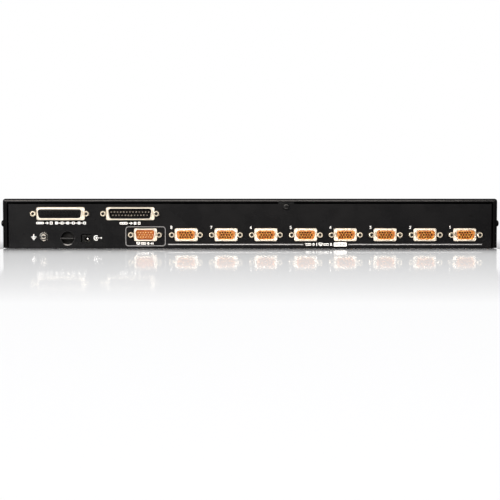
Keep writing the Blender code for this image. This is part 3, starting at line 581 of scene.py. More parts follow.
# ---- connectors
def make_shell(name, spacing, holds_pins):
    """The drawn shell: a flange and, on it, a D-shaped tube with a rounded root and a rolled lip."""
    node = f"{name}_shell"
    low, high, x, z = box_and_middle(node)
    flange_back = high.y
    flange_front = flange_back - FLANGE
    width, height, reach = PLUG_SHELL if holds_pins else SOCKET_SHELL
    if spacing == LARGE_SPACING:
        width += SHELL_EXTRA - (0.5 if holds_pins else -0.5)
    lip = flange_front - reach
    shape = dee(x, z, width, height, 2.7)
    root, roll = (0.5 if holds_pins else 0.25), 0.2
    arc = quarter_turn(4)
    mouth = shape(SHELL_WALL)
    flange = slab(x, z, high.x - low.x, high.z - low.z, 1.6)
    hole = [(mouth, flange_front), (mouth, flange_back)]
    make_piece(f"{name}_flange", TIN, [([edged(flange, flange_back, flange_front, 0.15), hole], [])],
               slot="nickel", replaces=[node])
    outside = [(shape(-root * (1 - sin(a))), flange_front - 0.01 - root * (1 - cos(a))) for a in arc]
    outside += [(shape(roll * (1 - cos(a))), lip + roll * (1 - sin(a))) for a in arc]
    inside = [(shape(SHELL_WALL), flange_front - 0.01), (shape(SHELL_WALL), lip + roll)]
    inside += [(shape(SHELL_WALL - roll * (1 - cos(a))), lip + roll * (1 - sin(a))) for a in arc[1:]]
    # The small sockets' tubes take the darker tin copy as painted shade.
    bright = holds_pins or spacing == LARGE_SPACING
    make_piece(f"{name}_tube", TIN if bright else TUBE, [([outside, inside], [])], slot="nickel")
    return x, z, flange_front, flange_back, lip, width, height


def make_screwlocks(name, x, z, spacing):
    """Two hexagonal nuts with turned-down ends and a threaded hole."""
    front = box_of(f"{name}_shell")[0].y
    back = Y_PANEL - GAP
    solids, shade_plugs = [], []
    for side in (-1, 1):
        u = x + side * spacing / 2
        radius = 2.75
        full = hexagon(u, z, radius, 3)
        turned = [(hexagon(u, z, radius, radius * r)(), front + d) for r, d in
                  ((0.74, 0.0), (0.82, 0.12), (0.90, 0.38), (1.01, 0.8))]
        rings = [(full(0.1), back), (full(), back - 0.12), *reversed(turned)]
        bore = disc(u, z, 1.32, 24)
        thread = [(bore(-0.2), front), (bore(), front + 0.3)]
        pitch = 0.635
        for turn in range(6):
            start = front + 0.3 + turn * pitch
            thread += [(bore(0.2), start + pitch * share) for share in (0.45, 0.6)]
            thread.append((bore(), start + pitch))
        solids.append(([rings], [thread]))
        # Painted shade: a black plug inside the bore darkens the hole.
        plug = disc(u, z, 1.05, 24)
        shade_plugs.append(([straight(plug, front + 0.7, front + 3.4)], []))
    make_piece(f"{name}_screwlocks", NICKEL, solids, slot="nickel", smooth=28)
    make_piece(f"{name}_screwlock_painted_shade", SHADE_BLACK, shade_plugs, slot="nickel")


# a contact hole's profile: how far it is drawn in, and how deep
COUNTERSINK = ((-0.22, 0.0), (-0.05, 0.16), (0.0, 0.3), (0.0, 4.6))


def make_socket_insert(name, node, x, z, spacing, flange_back, lip, width, height):
    """The moulded insert of a socket, with countersunk holes and a sprung contact down each of them."""
    large = spacing == LARGE_SPACING
    high = box_of(node)[1]
    face = lip + (0.35 if large else -0.02)
    wall = SHELL_WALL + (0.05 if large else -0.20)
    shape = dee(x, z, width - 2 * wall, height - 2 * wall, 2.5)
    block = dee(x, z, width + 1.0, height + 1.8)
    outside = [(block(0.3), high.y), (block(), high.y - 0.3), (block(), flange_back + 0.1),
               (shape(), flange_back + 0.1), *edged(shape, flange_back - FLANGE, face, 0.35, 3)[3:]]
    radius = 0.62 if large else 0.78
    sides = 14
    wells, contacts, depths = [], [], []
    for place in contact_places(x, z, 25 if large else 15):
        hole = disc(*place, radius, sides)
        wells.append([(hole(inset), face + depth) for inset, depth in COUNTERSINK])
        # Painted shade: a black disc inside each hole darkens it.
        shadow = disc(*place, radius - 0.03, sides)
        depths.append(([straight(shadow, face + (1.3 if large else 1.0), face + 1.6)], []))
        sleeve = disc(*place, radius - 0.06, sides)
        start = face + (2.6 if large else 1.7)
        contacts.append(([
            [(sleeve(), start + 1.8), (sleeve(), start + 0.1), (sleeve(0.08), start)],
            [(sleeve(0.2), start + 1.8), (sleeve(0.2), start + 0.15), (sleeve(0.12), start)],
        ], []))
    finish = DEEP_BLACK if large else ORANGE
    make_piece(f"{name}_contact_painted_shade", SHADE_BLACK, depths, slot="nickel")
    make_piece(f"{name}_insert", finish, [([outside], wells)],
               slot="black_nylon" if large else "orange_nylon", replaces=[node])
    make_piece(f"{name}_contacts", DIM_PIN if large else GOLD, contacts, slot="nickel")


def make_plug_insert(name, node, x, z, spacing, flange_front, flange_back, width, height):
    """The moulded insert of a plug, at the bottom of its shell, with round-ended pins."""
    large = spacing == LARGE_SPACING
    low, high = box_of(node)
    face = flange_front - (0.25 if large else 1.9)
    tip = low.y
    shape = dee(x, z, width - 2 * SHELL_WALL - 0.1, height - 2 * SHELL_WALL - 0.1, 2.0)
    block = dee(x, z, width + 1.0, height + 1.8)
    outside = [(block(0.3), high.y), (block(), high.y - 0.3), (block(), flange_back + 0.1),
               (shape(), flange_back + 0.1), (shape(), face + 0.15), (shape(0.15), face)]
    radius = (0.51 if large else 0.38)
    collars, pins = [], []
    for place in contact_places(x, z, 25 if large else 18):
        ring = disc(*place, radius + 0.28, 12)
        collars.append([(ring(), face), (ring(), face - 0.22), (ring(0.06), face - 0.28)])
        pin = disc(*place, radius, 14)
        arc = quarter_turn(4)
        nose = [(pin(radius * (1 - cos(a)) * 0.94), tip + radius * (1 - sin(a))) for a in arc]
        pins.append(([[(pin(), face - 0.2), *nose]], []))
    finish = DEEP_BLACK if large else AMBER
    make_piece(f"{name}_insert", finish, [([outside], collars)],
               slot="black_nylon" if large else "orange_nylon", replaces=[node])
    make_piece(f"{name}_pins", DIM_PIN if large else PALE_GOLD, pins, slot="nickel")


def make_connectors():
    for name, insert, spacing, holds_pins in connectors():
        x, z, flange_front, flange_back, lip, width, height = make_shell(name, spacing, holds_pins)
        make_screwlocks(name, x, z, spacing)
        if holds_pins:
            make_plug_insert(name, insert, x, z, spacing, flange_front, flange_back, width, height)
        else:
            make_socket_insert(name, insert, x, z, spacing, flange_back, lip, width, height)


# ---- fasteners
# a pan head's profile: the share of its radius drawn in, and the share of its height
PAN_HEAD = [
    (0.12, 0.0), (0.0, 0.06), (0.0, 0.42), (0.05, 0.62),
    (0.16, 0.80), (0.34, 0.93), (0.42, 0.965), (0.56, 1.0),
]


def make_pan_screw(name, material, slot, facing, place, plane, outward, head_r, head, turn):
    """A pan head with a domed top, a cross recess and a threaded shank."""
    u, v = place
    rim = disc(u, v, head_r, 40)
    rings = [(rim(head_r * inset), plane + outward * head * rise) for inset, rise in PAN_HEAD]
    thread = []
    shank = disc(u, v, 1.38, 40)
    pitch = 0.5
    for i in range(10, 0, -1):
        depth = plane - outward * (i * pitch)
        thread.append((shank(0.22), depth))
        thread += [(shank(), depth + outward * pitch * share) for share in (0.45, 0.55)]
    top = plane + outward * head
    mouth = cross(u, v, head_r * 0.42, head_r * 0.20, turn)
    recess = [(mouth(), top), (mouth(head_r * 0.03), top - outward * 0.12)]
    recess.append((mouth(head_r * 0.20), top - outward * head * 0.62))
    solid = ([[*thread, *rings]], [recess])
    make_piece(name + "_fine", material, [solid], facing, slot=slot, smooth=32, replaces=[name])


def make_screws():
    turn = 0.35
    for side, side_name in ((-1, "left"), (1, "right")):
        for end in ("rear", "front"):
            name = f"cover_screw_{side_name}_{end}"
            low, high = box_of(name)
            place = ((low.y + high.y) / 2, (low.z + high.z) / 2)
            outer = high.x if side > 0 else low.x
            plane = side * (HALF + 0.02)
            head = abs(outer - plane)
            make_pan_screw(name, SIDE_SCREW, "black_screw", facing_x, place, plane, side, 2.9, head, turn)
            turn += 0.7
    low, _, *place = box_and_middle("cover_screw_back")
    plane = Y_PANEL - 0.02
    head = plane - low.y
    make_pan_screw("cover_screw_back", DARK_SCREW, "black_screw", facing_y, place, plane, -1, 3.1, head, 0.2)
    low, _, *place = box_and_middle("ground_screw")
    washer_low, washer_high = box_of("ground_washer")
    head = washer_low.y - low.y
    make_pan_screw("ground_screw", ZINC, "zinc_screw", facing_y, place, washer_low.y, -1, 3.0, head, 0.55)

    def star(inset=0.0):
        teeth, points = 14, []
        for i in range(teeth * 4):
            radius = (3.95 if i % 4 < 2 else 3.35) - inset
            angle = pi * i / (2 * teeth)
            points.append((place[0] + radius * cos(angle), place[1] + radius * sin(angle)))
        return points

    hole = disc(*place, 1.6)
    front, back = washer_low.y, washer_high.y + GAP * 0.9
    solid = ([edged(star, front, back, 0.08), straight(hole, front, back)], [])
    make_piece("ground_washer_fine", ZINC, [solid], slot="zinc_screw", smooth=30, replaces=["ground_washer"])


# ---- enclosure
RIM_BEND = 2.2
RIM_TOP = 3.0
RIM_RATIO = 4.0 / 3.0
COVER_CORNER = 2.4


def cover_path(top_inset, side_inset):
    """The cover's section from its left foot over the top to its right foot."""
    half, top = HALF - side_inset, HEIGHT - top_inset
    corner = max(COVER_CORNER - top_inset, 0.25)
    steps = 8
    points = [(-half, COVER_FOOT)]
    for side in (-1, 1):
        for step in range(steps + 1):
            angle = pi / 2 * (step if side < 0 else steps - step) / steps
            points.append((side * (half - corner + corner * cos(angle)), top - corner + corner * sin(angle)))
    points.append((half, COVER_FOOT))
    return points


def make_cover():
    """A folded inverted U whose rear edge rolls in to frame the rear panel."""
    bend = 10
    arc = quarter_turn(bend)
    side_bend = RIM_BEND * RIM_RATIO
    soft = 0.12
    stations = [(Y_WALL, soft, soft), (Y_WALL - soft, 0.0, 0.0)]
    for a in arc:
        across = 1 - cos(a)
        stations.append((Y_REAR + RIM_BEND * (1 - sin(a)), RIM_BEND * across, side_bend * across))
    stations.append((Y_REAR, RIM_TOP - soft, RIM_TOP * RIM_RATIO - soft))
    stations.append((Y_REAR + soft, RIM_TOP, RIM_TOP * RIM_RATIO))
    stations.append((Y_REAR + SHEET, RIM_TOP, RIM_TOP * RIM_RATIO))
    for a in reversed(arc):
        depth = Y_REAR + RIM_BEND - (RIM_BEND - SHEET) * sin(a)
        top, side = [radius - (radius - SHEET) * cos(a) for radius in (RIM_BEND, side_bend)]
        stations.append((depth, top, side))
    stations.append((Y_WALL, SHEET, SHEET))

    mesh = bmesh.new()
    rings = []
    for y, top, side in stations:
        rings.append([mesh.verts.new(facing_y(u, v, y)) for u, v in cover_path(top, side)])
    count = len(rings[0])
    flat_run = 1  # from the front edge back to the rear fold
    for station, (low, high) in enumerate(zip(rings, rings[1:] + rings[:1])):
        for i in range(count - 1):
            face = mesh.faces.new((low[i], low[i + 1], high[i + 1], high[i]))
            # The side walls take the side-fold coat, whose darker fold is painted shade.
            face.material_index = 1 if i in (0, count - 2) else (2 if station <= flat_run else 0)
    for end in (0, count - 1):
        fill(mesh, [[ring[end] for ring in rings]])
    bmesh.ops.recalc_face_normals(mesh, faces=mesh.faces[:])
    place = centre_of("cover_screw_back")
    tab = slab(place.x, (place.z + HEIGHT) / 2 - 2, 14, HEIGHT - place.z + 3, 1.0)
    add_solid(mesh, facing_y, [edged(tab, Y_PANEL_BACK + GAP, Y_PANEL_BACK + GAP + SHEET, 0.1)])
    shell = finish_piece("cover_shell", mesh, COVER_TOP, slot="black_steel", smooth=40,
                         replaces=["top_cover"])
    shell.data.materials.append(COVER_SIDE)
    shell.data.materials.append(COVER_SHEET)


# ---- power socket and cable-tie slot
def make_panel_fold():
    """The rounded outer skin of the fold between the rear panel and the floor."""
    half, radius = 214.1, 1.1
    arc = quarter_turn(6)
    skin = [(Y_PANEL - 0.03 + radius * (1 - cos(a)), radius * (1 - sin(a))) for a in arc]
    outline = [(Y_PANEL - 0.03, radius + 0.1), *skin, (Y_PANEL + radius, 0.5), (Y_PANEL + 0.3, radius + 0.1)]
    rings = [(outline, -half), (outline, half)]
    # The fold takes the side-fold coat, whose deep black is painted shade.
    make_piece("panel_fold", COVER_SIDE, [([rings], [])], facing_x, slot="black_steel")


def make_power_socket():
    """The barrel socket's moulding and its pin."""
    low, high, mid_x, mid_z = box_and_middle("dc_jack_body")
    pin_low, pin_high = box_of("dc_jack_pin")
    x, z = centre_of("dc_jack_pin").x, centre_of("dc_jack_pin").z
    body = slab(mid_x, mid_z, high.x - low.x, high.z - low.z, 0.5)
    outside = edged(body, high.y, low.y, 0.25)
    barrel = disc(x, z, 2.3, 40)
    well = [(barrel(-0.25), low.y), (barrel(-0.07), low.y + 0.07), (barrel(), low.y + 0.25),
            (barrel(), low.y + 8.0)]
    make_piece("dc_jack_moulding", DEEP_BLACK, [([outside], [well])],
               slot="black_nylon", replaces=["dc_jack_body"])
    pin = disc(x, z, 0.62, 24)
    tip = ((0.0, 0.5), (0.06, 0.22), (0.22, 0.06), (0.5, 0.0))
    nose = [(pin(inset), pin_low.y + depth) for inset, depth in tip]
    make_piece("dc_jack_pin_fine", BRIGHT, [([[(pin(), pin_high.y), *nose]], [])],
               slot="nickel", replaces=["dc_jack_pin"])
    contact = slab(x + 1.2, z - 1.85, 1.6, 0.3, 0.1)
    blade = straight(contact, low.y + 3.0, low.y + 7.6)
    make_piece("dc_jack_contact", DIM_PIN, [([blade], [])], slot="nickel")


TIE_SLOT = (-161.8, 8.9)
TIE_SLOT_R = 6.3
TIE_STRAP = 1.8


def make_tie_slot():
    """The slot's rolled mouth, its strap's rounded face and the pocket behind, painted black as shade."""
    x, z = TIE_SLOT
    z += 0.2
    mouth = disc(x, z, TIE_SLOT_R - 0.75, 72)
    arc = quarter_turn(6)
    roll = 0.85
    inner = [(mouth(roll * (sin(a) - 1) + 0.1), Y_PANEL - 0.04 + roll * (1 - cos(a))) for a in arc]
    inner.append((mouth(0.1), Y_PANEL + 1.4))
    rim = mouth(-roll - 0.2)
    outer = [(rim, Y_PANEL - 0.04), (rim, Y_PANEL + 0.3), (mouth(-0.1), Y_PANEL + 1.4)]
    # The mouth takes the coat with a painted highlight on its lower lip.
    make_piece("tie_slot_mouth", SLOT_COAT_HIGHLIGHTED, [([outer, inner], [])], slot="black_steel")
    strap = slab(x, TIE_SLOT[1], 2 * TIE_SLOT_R - 1.9, TIE_STRAP + 0.16, 0.3)
    bar = edged(strap, Y_PANEL + 0.6, Y_PANEL - 0.35, 0.75, 6)
    # The strap takes the coat with a painted highlight along its crest.
    make_piece("tie_slot_strap", SLOT_COAT_HIGHLIGHTED, [([bar], [])], slot="black_steel")
    # Painted shade: the pocket is black.
    wall = disc(x, z, TIE_SLOT_R - 0.12, 72)
    depth = Y_PANEL + 5.3
    pocket = [straight(wall, Y_PANEL + 1.5, depth), [(wall(0.1), Y_PANEL + 1.5), (wall(0.1), depth)]]
    back = straight(wall, depth - 0.2, depth)
    make_piece("tie_slot_pocket", SHADE_BLACK, [(pocket, []), ([back], [])], slot="black_steel")


# ---- signs: each is a list of shapes, an outline and its holes
def line(width, *points):
    return [stroke(points, width)]


def filled(u, v, width, height, radius=0.3):
    return [slab(u, v, width, height, radius, 6)()]


def hollow(u, v, width, height, radius, thickness):
    frame_line = slab(u, v, width, height, radius, 8)
    return [frame_line(), frame_line(thickness)]


def spot(u, v, radius):
    return [disc(u, v, radius, 20)()]


def arc_line(u, v, radius, start, end, width, count=14):
    angles = [radians(start + (end - start) * i / count) for i in range(count + 1)]
    return line(width, *[(u + radius * cos(a), v + radius * sin(a)) for a in angles])


def moved(shapes, u, v, size=1.0):
    """Shapes drawn around the origin, scaled and put at (u, v) in millimetres."""
    return [[[(size * pu + u, size * pv + v) for pu, pv in loop] for loop in shape] for shape in shapes]


def laid(*signs):
    """Several signs, each given as shapes, u, v and size."""
    return [shape for sign in signs for shape in moved(*sign)]


def arrow():
    return [line(0.42, (-1.3, 0), (0.9, 0)), line(0.42, (0.1, 0.85), (1.25, 0), (0.1, -0.85))]


def chain():
    return [hollow(i * 1.75, 0, 2.5, 1.7, 0.84, 0.5) for i in (-1, 0, 1)]


def case_box(filled_in=False):
    return [filled(0, 0, 1.9, 1.9, 0.25) if filled_in else hollow(0, 0, 1.9, 1.9, 0.25, 0.44)]


def monitor():
    stand = [filled(0, -0.75, 0.5, 0.5, 0.05), filled(0, -1.0, 1.7, 0.34, 0.1)]
    return [hollow(0, 0.28, 2.9, 1.7, 0.25, 0.42), *stand]


def keyboard():
    keys = [filled(-1.2 + 0.6 * i, 0.26, 0.32, 0.26, 0.05) for i in range(5)]
    return [hollow(0, 0, 4.0, 1.7, 0.25, 0.36), filled(0, -0.32, 1.9, 0.26, 0.05), *keys]


def mouse():
    return [hollow(0, 0, 1.5, 2.1, 0.72, 0.42), line(0.3, (0, 0.95), (0, 0.2))]


def speaker():
    cone = [[(-0.9, 0.35), (-0.4, 0.35), (0.2, 0.95), (0.2, -0.95), (-0.4, -0.35), (-0.9, -0.35)]]
    return [cone, arc_line(0.1, 0, 0.75, -50, 50, 0.28), arc_line(0.1, 0, 1.3, -50, 50, 0.28)]


def power_sign():
    return [arc_line(0, 0, 0.9, -235, 55, 0.3), line(0.3, (0, 0.35), (0, 1.25))]


def restart_sign():
    head = [[(0.45, 0.35), (1.35, 0.55), (0.75, 1.25)]]
    return [arc_line(0, 0, 0.9, 70, 360, 0.3), head]


def earth_sign():
    bars = [line(0.55, (-half, v), (half, v)) for half, v in ((2.3, 0.2), (1.5, -1.0), (0.7, -2.2))]
    return [line(0.6, (0, 2.7), (0, 0.2)), *bars]


def polarity_sign():
    plus = [line(0.42, (3.6, 0), (5.2, 0)), line(0.42, (4.4, 0.8), (4.4, -0.8))]
    return [arc_line(0, 0, 2.0, 50, 310, 0.62), spot(0, 0, 0.72), line(0.42, (0, 0), (3.0, 0)), *plus]


DIGITS = {
    1: [((0.10, 0.75), (0.36, 0.98), (0.36, 0.0))],
    2: [((0.02, 0.76), (0.14, 0.94), (0.42, 0.97), (0.58, 0.80), (0.54, 0.56), (0.05, 0.06), (0.62, 0.06))],
    3: [(
        (0.03, 0.94), (0.56, 0.94), (0.26, 0.58), (0.50, 0.52), (0.60, 0.30), (0.48, 0.08),
        (0.26, 0.03), (0.02, 0.12),
    )],
    4: [((0.64, 0.26), (0.04, 0.26), (0.42, 0.98)), ((0.45, 0.98), (0.45, 0.0))],
    5: [(
        (0.58, 0.94), (0.10, 0.94), (0.08, 0.54), (0.40, 0.58), (0.58, 0.42), (0.56, 0.14),
        (0.34, 0.03), (0.02, 0.10),
    )],
    6: [((0.52, 0.95), (0.24, 0.80), (0.08, 0.44))],
    7: [((0.02, 0.94), (0.60, 0.94), (0.22, 0.0))],
    8: [],
}
DIGIT_RINGS = {6: [(0.30, 0.29)], 8: [(0.30, 0.27), (0.30, 0.73)]}


def digit(number, height, weight=0.17):
    """A numeral of that height in millimetres, around its own middle."""
    shapes = []
    for points in DIGITS[number]:
        shapes.append(line(weight * height, *[((u - 0.3) * height, (v - 0.5) * height) for u, v in points]))
    for u, v in DIGIT_RINGS.get(number, []):
        shapes.append(hollow(*[share * height for share in (u - 0.3, v - 0.5, 0.66, 0.60, 0.27, weight)]))
    return shapes


def print_signs(name, material, shapes, face, outward=-1, thickness=0.05, body=BODY, slot="black_steel"):
    """Ink on a face. Shapes next to each other differ by a hair in height, so none share a surface."""
    solids = []
    for i, loops in enumerate(shapes):
        front = face + outward * (thickness + 0.003 * (i % 9))
        back = face - outward * 0.02
        solids.append(([[(loop, back), (loop, front)] for loop in loops], []))
    make_piece(name, material, solids, body=body, slot=slot)


def print_rear_signs():
    """Pictograms where the panel has its legends."""
    white = laid((chain(), -186.2, 22.4, 1.15), (arrow(), -180.3, 22.4, 1.2), (case_box(), -176.3, 22.4, 1.3))
    for i in range(6):
        u = -171.6 + i * 5.0
        white += moved(case_box(i % 2 == 0), u, 22.4, 1.2)
        if i < 5:
            white.append(line(0.5, (u + 1.3, 22.4), (u + 3.7, 22.4)))
    white += laid((chain(), -112.1, 22.2, 1.2), (arrow(), -105.9, 22.2, 1.25))
    white += laid((case_box(True), -101.9, 22.2, 1.2), (case_box(), -98.3, 22.2, 1.2))
    white += laid((monitor(), -99.1, 4.4, 1.1), (keyboard(), -94.4, 4.3, 1.1), (mouse(), -90.2, 4.3, 1.1))
    white += laid((speaker(), -87.2, 4.3, 1.1), (earth_sign(), -191.8, 9.8, 0.98))
    white += moved(polarity_sign(), -136.4, 9.2)
    for n in PORTS:
        white += moved(digit(n, 2.5), centre_of(f"kvm_port_{n}_shell").x - 13.2, 18.5)
    white += laid((keyboard(), 51.8, 3.4, 1.2), (mouse(), 56.4, 3.4, 1.15))
    white.append(filled(59.2, 3.4, 0.6, 2.8, 0.1))
    white += laid((monitor(), 62.6, 3.5, 1.2), (keyboard(), 67.6, 3.4, 1.15), (mouse(), 71.8, 3.4, 1.15))
    white.append(filled(80.1, 3.4, 11.6, 3.5, 0.8))
    print_signs("rear_white_print", INK, white, Y_PANEL)
    dark = laid((monitor(), 76.8, 3.5, 0.85), (arrow(), 80.0, 3.4, 0.9), (case_box(), 83.3, 3.4, 0.85))
    print_signs("rear_dark_print", DARK_INK, dark, Y_PANEL - 0.07)
    grey = [hollow(-92.65, 10.6, 35.5, 17.4, 2.6, 0.5)]
    print_signs("console_outline_print", BOX_INK, grey, Y_PANEL)
    rule = [filled(-12.7, 3.4, 119.8, 0.85, 0.1), filled(146.5, 3.4, 118.4, 0.85, 0.1)]
    print_signs("port_rule_print", RULE_INK, rule, Y_PANEL)


# ---- front
def mirrored(shapes):
    """Signs read from the front, where +X is to the left."""
    return [[[(-u, v) for u, v in loop] for loop in shape] for shape in shapes]


def at_front(shapes, x, z, size=1.0):
    return moved(mirrored(shapes), x, z, size)


def make_keys():
    """Moulded key caps with soft edges and a shallow dish, each with its number printed on it."""
    for n in PORTS:
        key = f"port_button_{n}"
        low, high, x, z = box_and_middle(key)
        cap = slab(x, z, 16.0, 7.0, 1.2, 6)
        face = high.y
        arc = quarter_turn(5)
        rings = [(cap(), low.y), (cap(), face - 0.7)]
        rings += [(cap(0.7 * (1 - cos(a))), face - 0.7 * (1 - sin(a))) for a in arc[1:]]
        dish = [(cap(0.95), face), (cap(1.3), face - 0.08), (cap(2.0), face - 0.16), (cap(2.9), face - 0.2)]
        skirt = slab(x, z, high.x - low.x, high.z - low.z, 1.2)
        skirt_front = Y_FACE - BEZEL_WALL - GAP
        collar = edged(skirt, skirt_front - 1.2, skirt_front, 0.15)
        make_piece(f"{key}_cap", KEY, [([rings], [dish]), ([collar], [])],
                   body=key, slot="grey_button", replaces=[key])
        number = at_front(digit(n, 2.9, 0.15), x, z)
        print_signs(f"{key}_number", DARK_INK, number, face - 0.2, 1, 0.04, key, "grey_button")


def make_reset_key():
    low, high, x, z = box_and_middle("reset_button")
    cap = disc(x, z, 2.0, 40)
    arc = quarter_turn(5)
    rings = [(cap(), low.y), (cap(), high.y - 0.4)]
    rings += [(cap(0.4 * (1 - cos(a))), high.y - 0.4 * (1 - sin(a))) for a in arc[1:]]
    dimple = [(cap(0.7), high.y), (cap(1.0), high.y - 0.12), (cap(1.4), high.y - 0.18)]
    make_piece("reset_button_cap", KEY, [([rings], [dimple])], body="reset_button", slot="grey_button",
               replaces=["reset_button"])


def light_places():
    keys = [centre_of(f"port_button_{n}").x for n in PORTS]
    return [*[x + spread for x in keys for spread in (-4, 4)], centre_of("reset_button").x]


def make_lights():
    """A domed lens in the end of each rod of the light pipe, lit from behind."""
    tip = box_of("light_pipe_bar")[1].y
    z = centre_of("light_pipe_bar").z
    profile = [(0.0, 0.55), (0.02, 0.34), (0.12, 0.17), (0.34, 0.05), (0.62, 0.0)]
    finishes = {"green_lenses": GREEN_GLOW, "amber_lenses": AMBER_GLOW, "unlit_lenses": WHITE}
    groups = {name: [] for name in finishes}
    for i, x in enumerate(light_places()):
        lens = disc(x, z, 1.1, 32)
        dome = [(lens(inset), tip - depth) for inset, depth in profile]
        lit = "green_lenses" if i in (0, 16) else "amber_lenses" if i in (1, 5, 9) else "unlit_lenses"
        groups[lit].append(([[(lens(), Y_FACE - BEZEL_WALL), *dome]], []))
    for name, solids in groups.items():
        make_piece(name, finishes[name], solids, slot="clear_pipe")


# each bar's place across and up the numeral, and whether it stands upright
SEGMENTS = {
    "a": (0, 1, 0), "b": (0.5, 0.5, 1), "c": (0.5, -0.5, 1), "d": (0, -1, 0),
    "e": (-0.5, -0.5, 1), "f": (-0.5, 0.5, 1), "g": (0, 0, 0),
}


def segment(name, u, v, height):
    """One bar of a seven-segment numeral."""
    across, up, upright = SEGMENTS[name]
    middle = Vector((u + across * height * 0.52, v + up * height * 0.5))
    long, wide = height * 0.20, height * 0.055
    neck = long - wide
    tips = [(-long, 0), (-neck, wide), (neck, wide), (long, 0), (neck, -wide), (-neck, -wide)]
    return [[(middle.x + (b if upright else a), middle.y + (a if upright else b)) for a, b in tips]]


def make_station_display():
    low, high, x, z = box_and_middle("station_display")
    body = slab(x, z, high.x - low.x, high.z - low.z, 0.4)
    make_piece("display_housing", BLACK_NYLON, [([edged(body, low.y, high.y - 0.3, 0.2)], [])],
               slot="white_plastic", replaces=["station_display"])
    lit, unlit = [], []
    for u, on in ((-5.4, "abcdef"), (5.4, "bc")):
        for name in SEGMENTS:
            (lit if name in on else unlit).append(segment(name, x + u, z, 11))
    for name, material, bars in (("lit", RED_GLOW, lit), ("unlit", CHIP, unlit)):
        turned = [[[(2 * x - u, v) for u, v in loop] for loop in shape] for shape in bars]
        print_signs(f"display_{name}_bars", material, turned, high.y - 0.3, 1, 0.1, slot="white_plastic")


def make_window():
    low, high, x, z = box_and_middle("display_window")
    face = slab(x, z, 31.4, 18.4, 1.3, 8)
    lip = slab(x, z, high.x - low.x, high.z - low.z, 1.3, 8)
    lip_front = Y_FACE - BEZEL_WALL - GAP
    rings = [(lip(), low.y), (lip(), lip_front), (face(), lip_front)]
    rings += [(face(inset), high.y - depth) for inset, depth in ((0.0, 0.3), (0.09, 0.09), (0.3, 0.0))]
    make_piece("window_moulding", SMOKED, [([rings], [])], slot="smoked_window", replaces=["display_window"])


def make_peripheral_socket():
    low, high, x, z = box_and_middle("usb_port_shell")
    sleeve = slab(x, z, high.x - low.x, high.z - low.z, 0.55, 6)
    wall = 0.35
    outside = edged(sleeve, low.y, high.y, 0.12)
    flare = ((0.0, 0.5), (0.12, 0.1), (0.22, 0.0))
    inside = [(sleeve(wall), low.y), *[(sleeve(wall - out), high.y - depth) for out, depth in flare]]
    make_piece("peripheral_sleeve", BRIGHT, [([outside, inside], [])],
               slot="nickel", replaces=["usb_port_shell"])
    tongue_low, tongue_high = box_of("usb_port_tongue")
    tongue = slab(x, z + 1.05, 11.1, 1.85, 0.2)
    block = slab(x, z, high.x - low.x - 2.2 * wall, high.z - low.z - 2.2 * wall, 0.3)
    solids = [([edged(tongue, tongue_low.y, tongue_high.y, 0.2)], [])]
    solids.append(([straight(block, tongue_low.y, tongue_low.y + 3)], []))
    make_piece("peripheral_tongue", WHITE, solids, slot="white_plastic", replaces=["usb_port_tongue"])
    strips = []
    for u in (-3.5, -1.0, 1.0, 3.5):
        strip = slab(x + u, z + 0.1, 1.0, 0.12, 0.04)
        strips.append(([straight(strip, tongue_low.y + 3.1, tongue_high.y - 1.0)], []))
    make_piece("peripheral_contacts", GOLD, strips, slot="nickel")


def print_front_signs():
    light_z = centre_of("light_pipe_bar").z
    reset = centre_of("reset_button")
    socket = centre_of("usb_port_shell")
    over_lights, over_socket = light_z + 4.2, socket.z + 6.6
    shapes = at_front(power_sign(), reset.x, over_lights)
    shapes += at_front(restart_sign(), reset.x, reset.z - 5.0)
    shapes += at_front(keyboard(), socket.x + 3.0, over_socket, 1.1)
    shapes += at_front(mouse(), socket.x - 2.6, over_socket, 1.1)
    for n in PORTS:
        x = centre_of(f"port_button_{n}").x
        shapes += at_front(monitor(), x + 4, over_lights, 0.9) + at_front(arrow(), x - 4, over_lights, 0.9)
    print_signs("front_print", GREY_INK, shapes, Y_FACE, 1, 0.05, slot="black_plastic")


# ---- floor, light and camera, in metres
REAR, SIDE, TOP = Y_REAR * MM, HALF * MM, HEIGHT * MM


def stage_plane(name, corners, material):
    mesh = bmesh.new()
    mesh.faces.new([mesh.verts.new(corner) for corner in corners])
    data = bpy.data.meshes.new(name)
    mesh.to_mesh(data)
    mesh.free()
    data.materials.append(material)
    plane = bpy.data.objects.new(name, data)
    bpy.context.scene.collection.objects.link(plane)
    return plane


# how much of the floor's light is mirrored, by the distance out from the connector panel
FLOOR_SHARES = ((0.39, 0.16), (0.22, 0.30), (0.10, 0.38), (0.05, 0.52), (0.0, 0.80), (-0.02, 0.0))
POLISH_OUT, POLISH_IN = 0.50, 0.05
FLOOR_HALF, FLOOR_LEVEL = 14.0, -0.0002


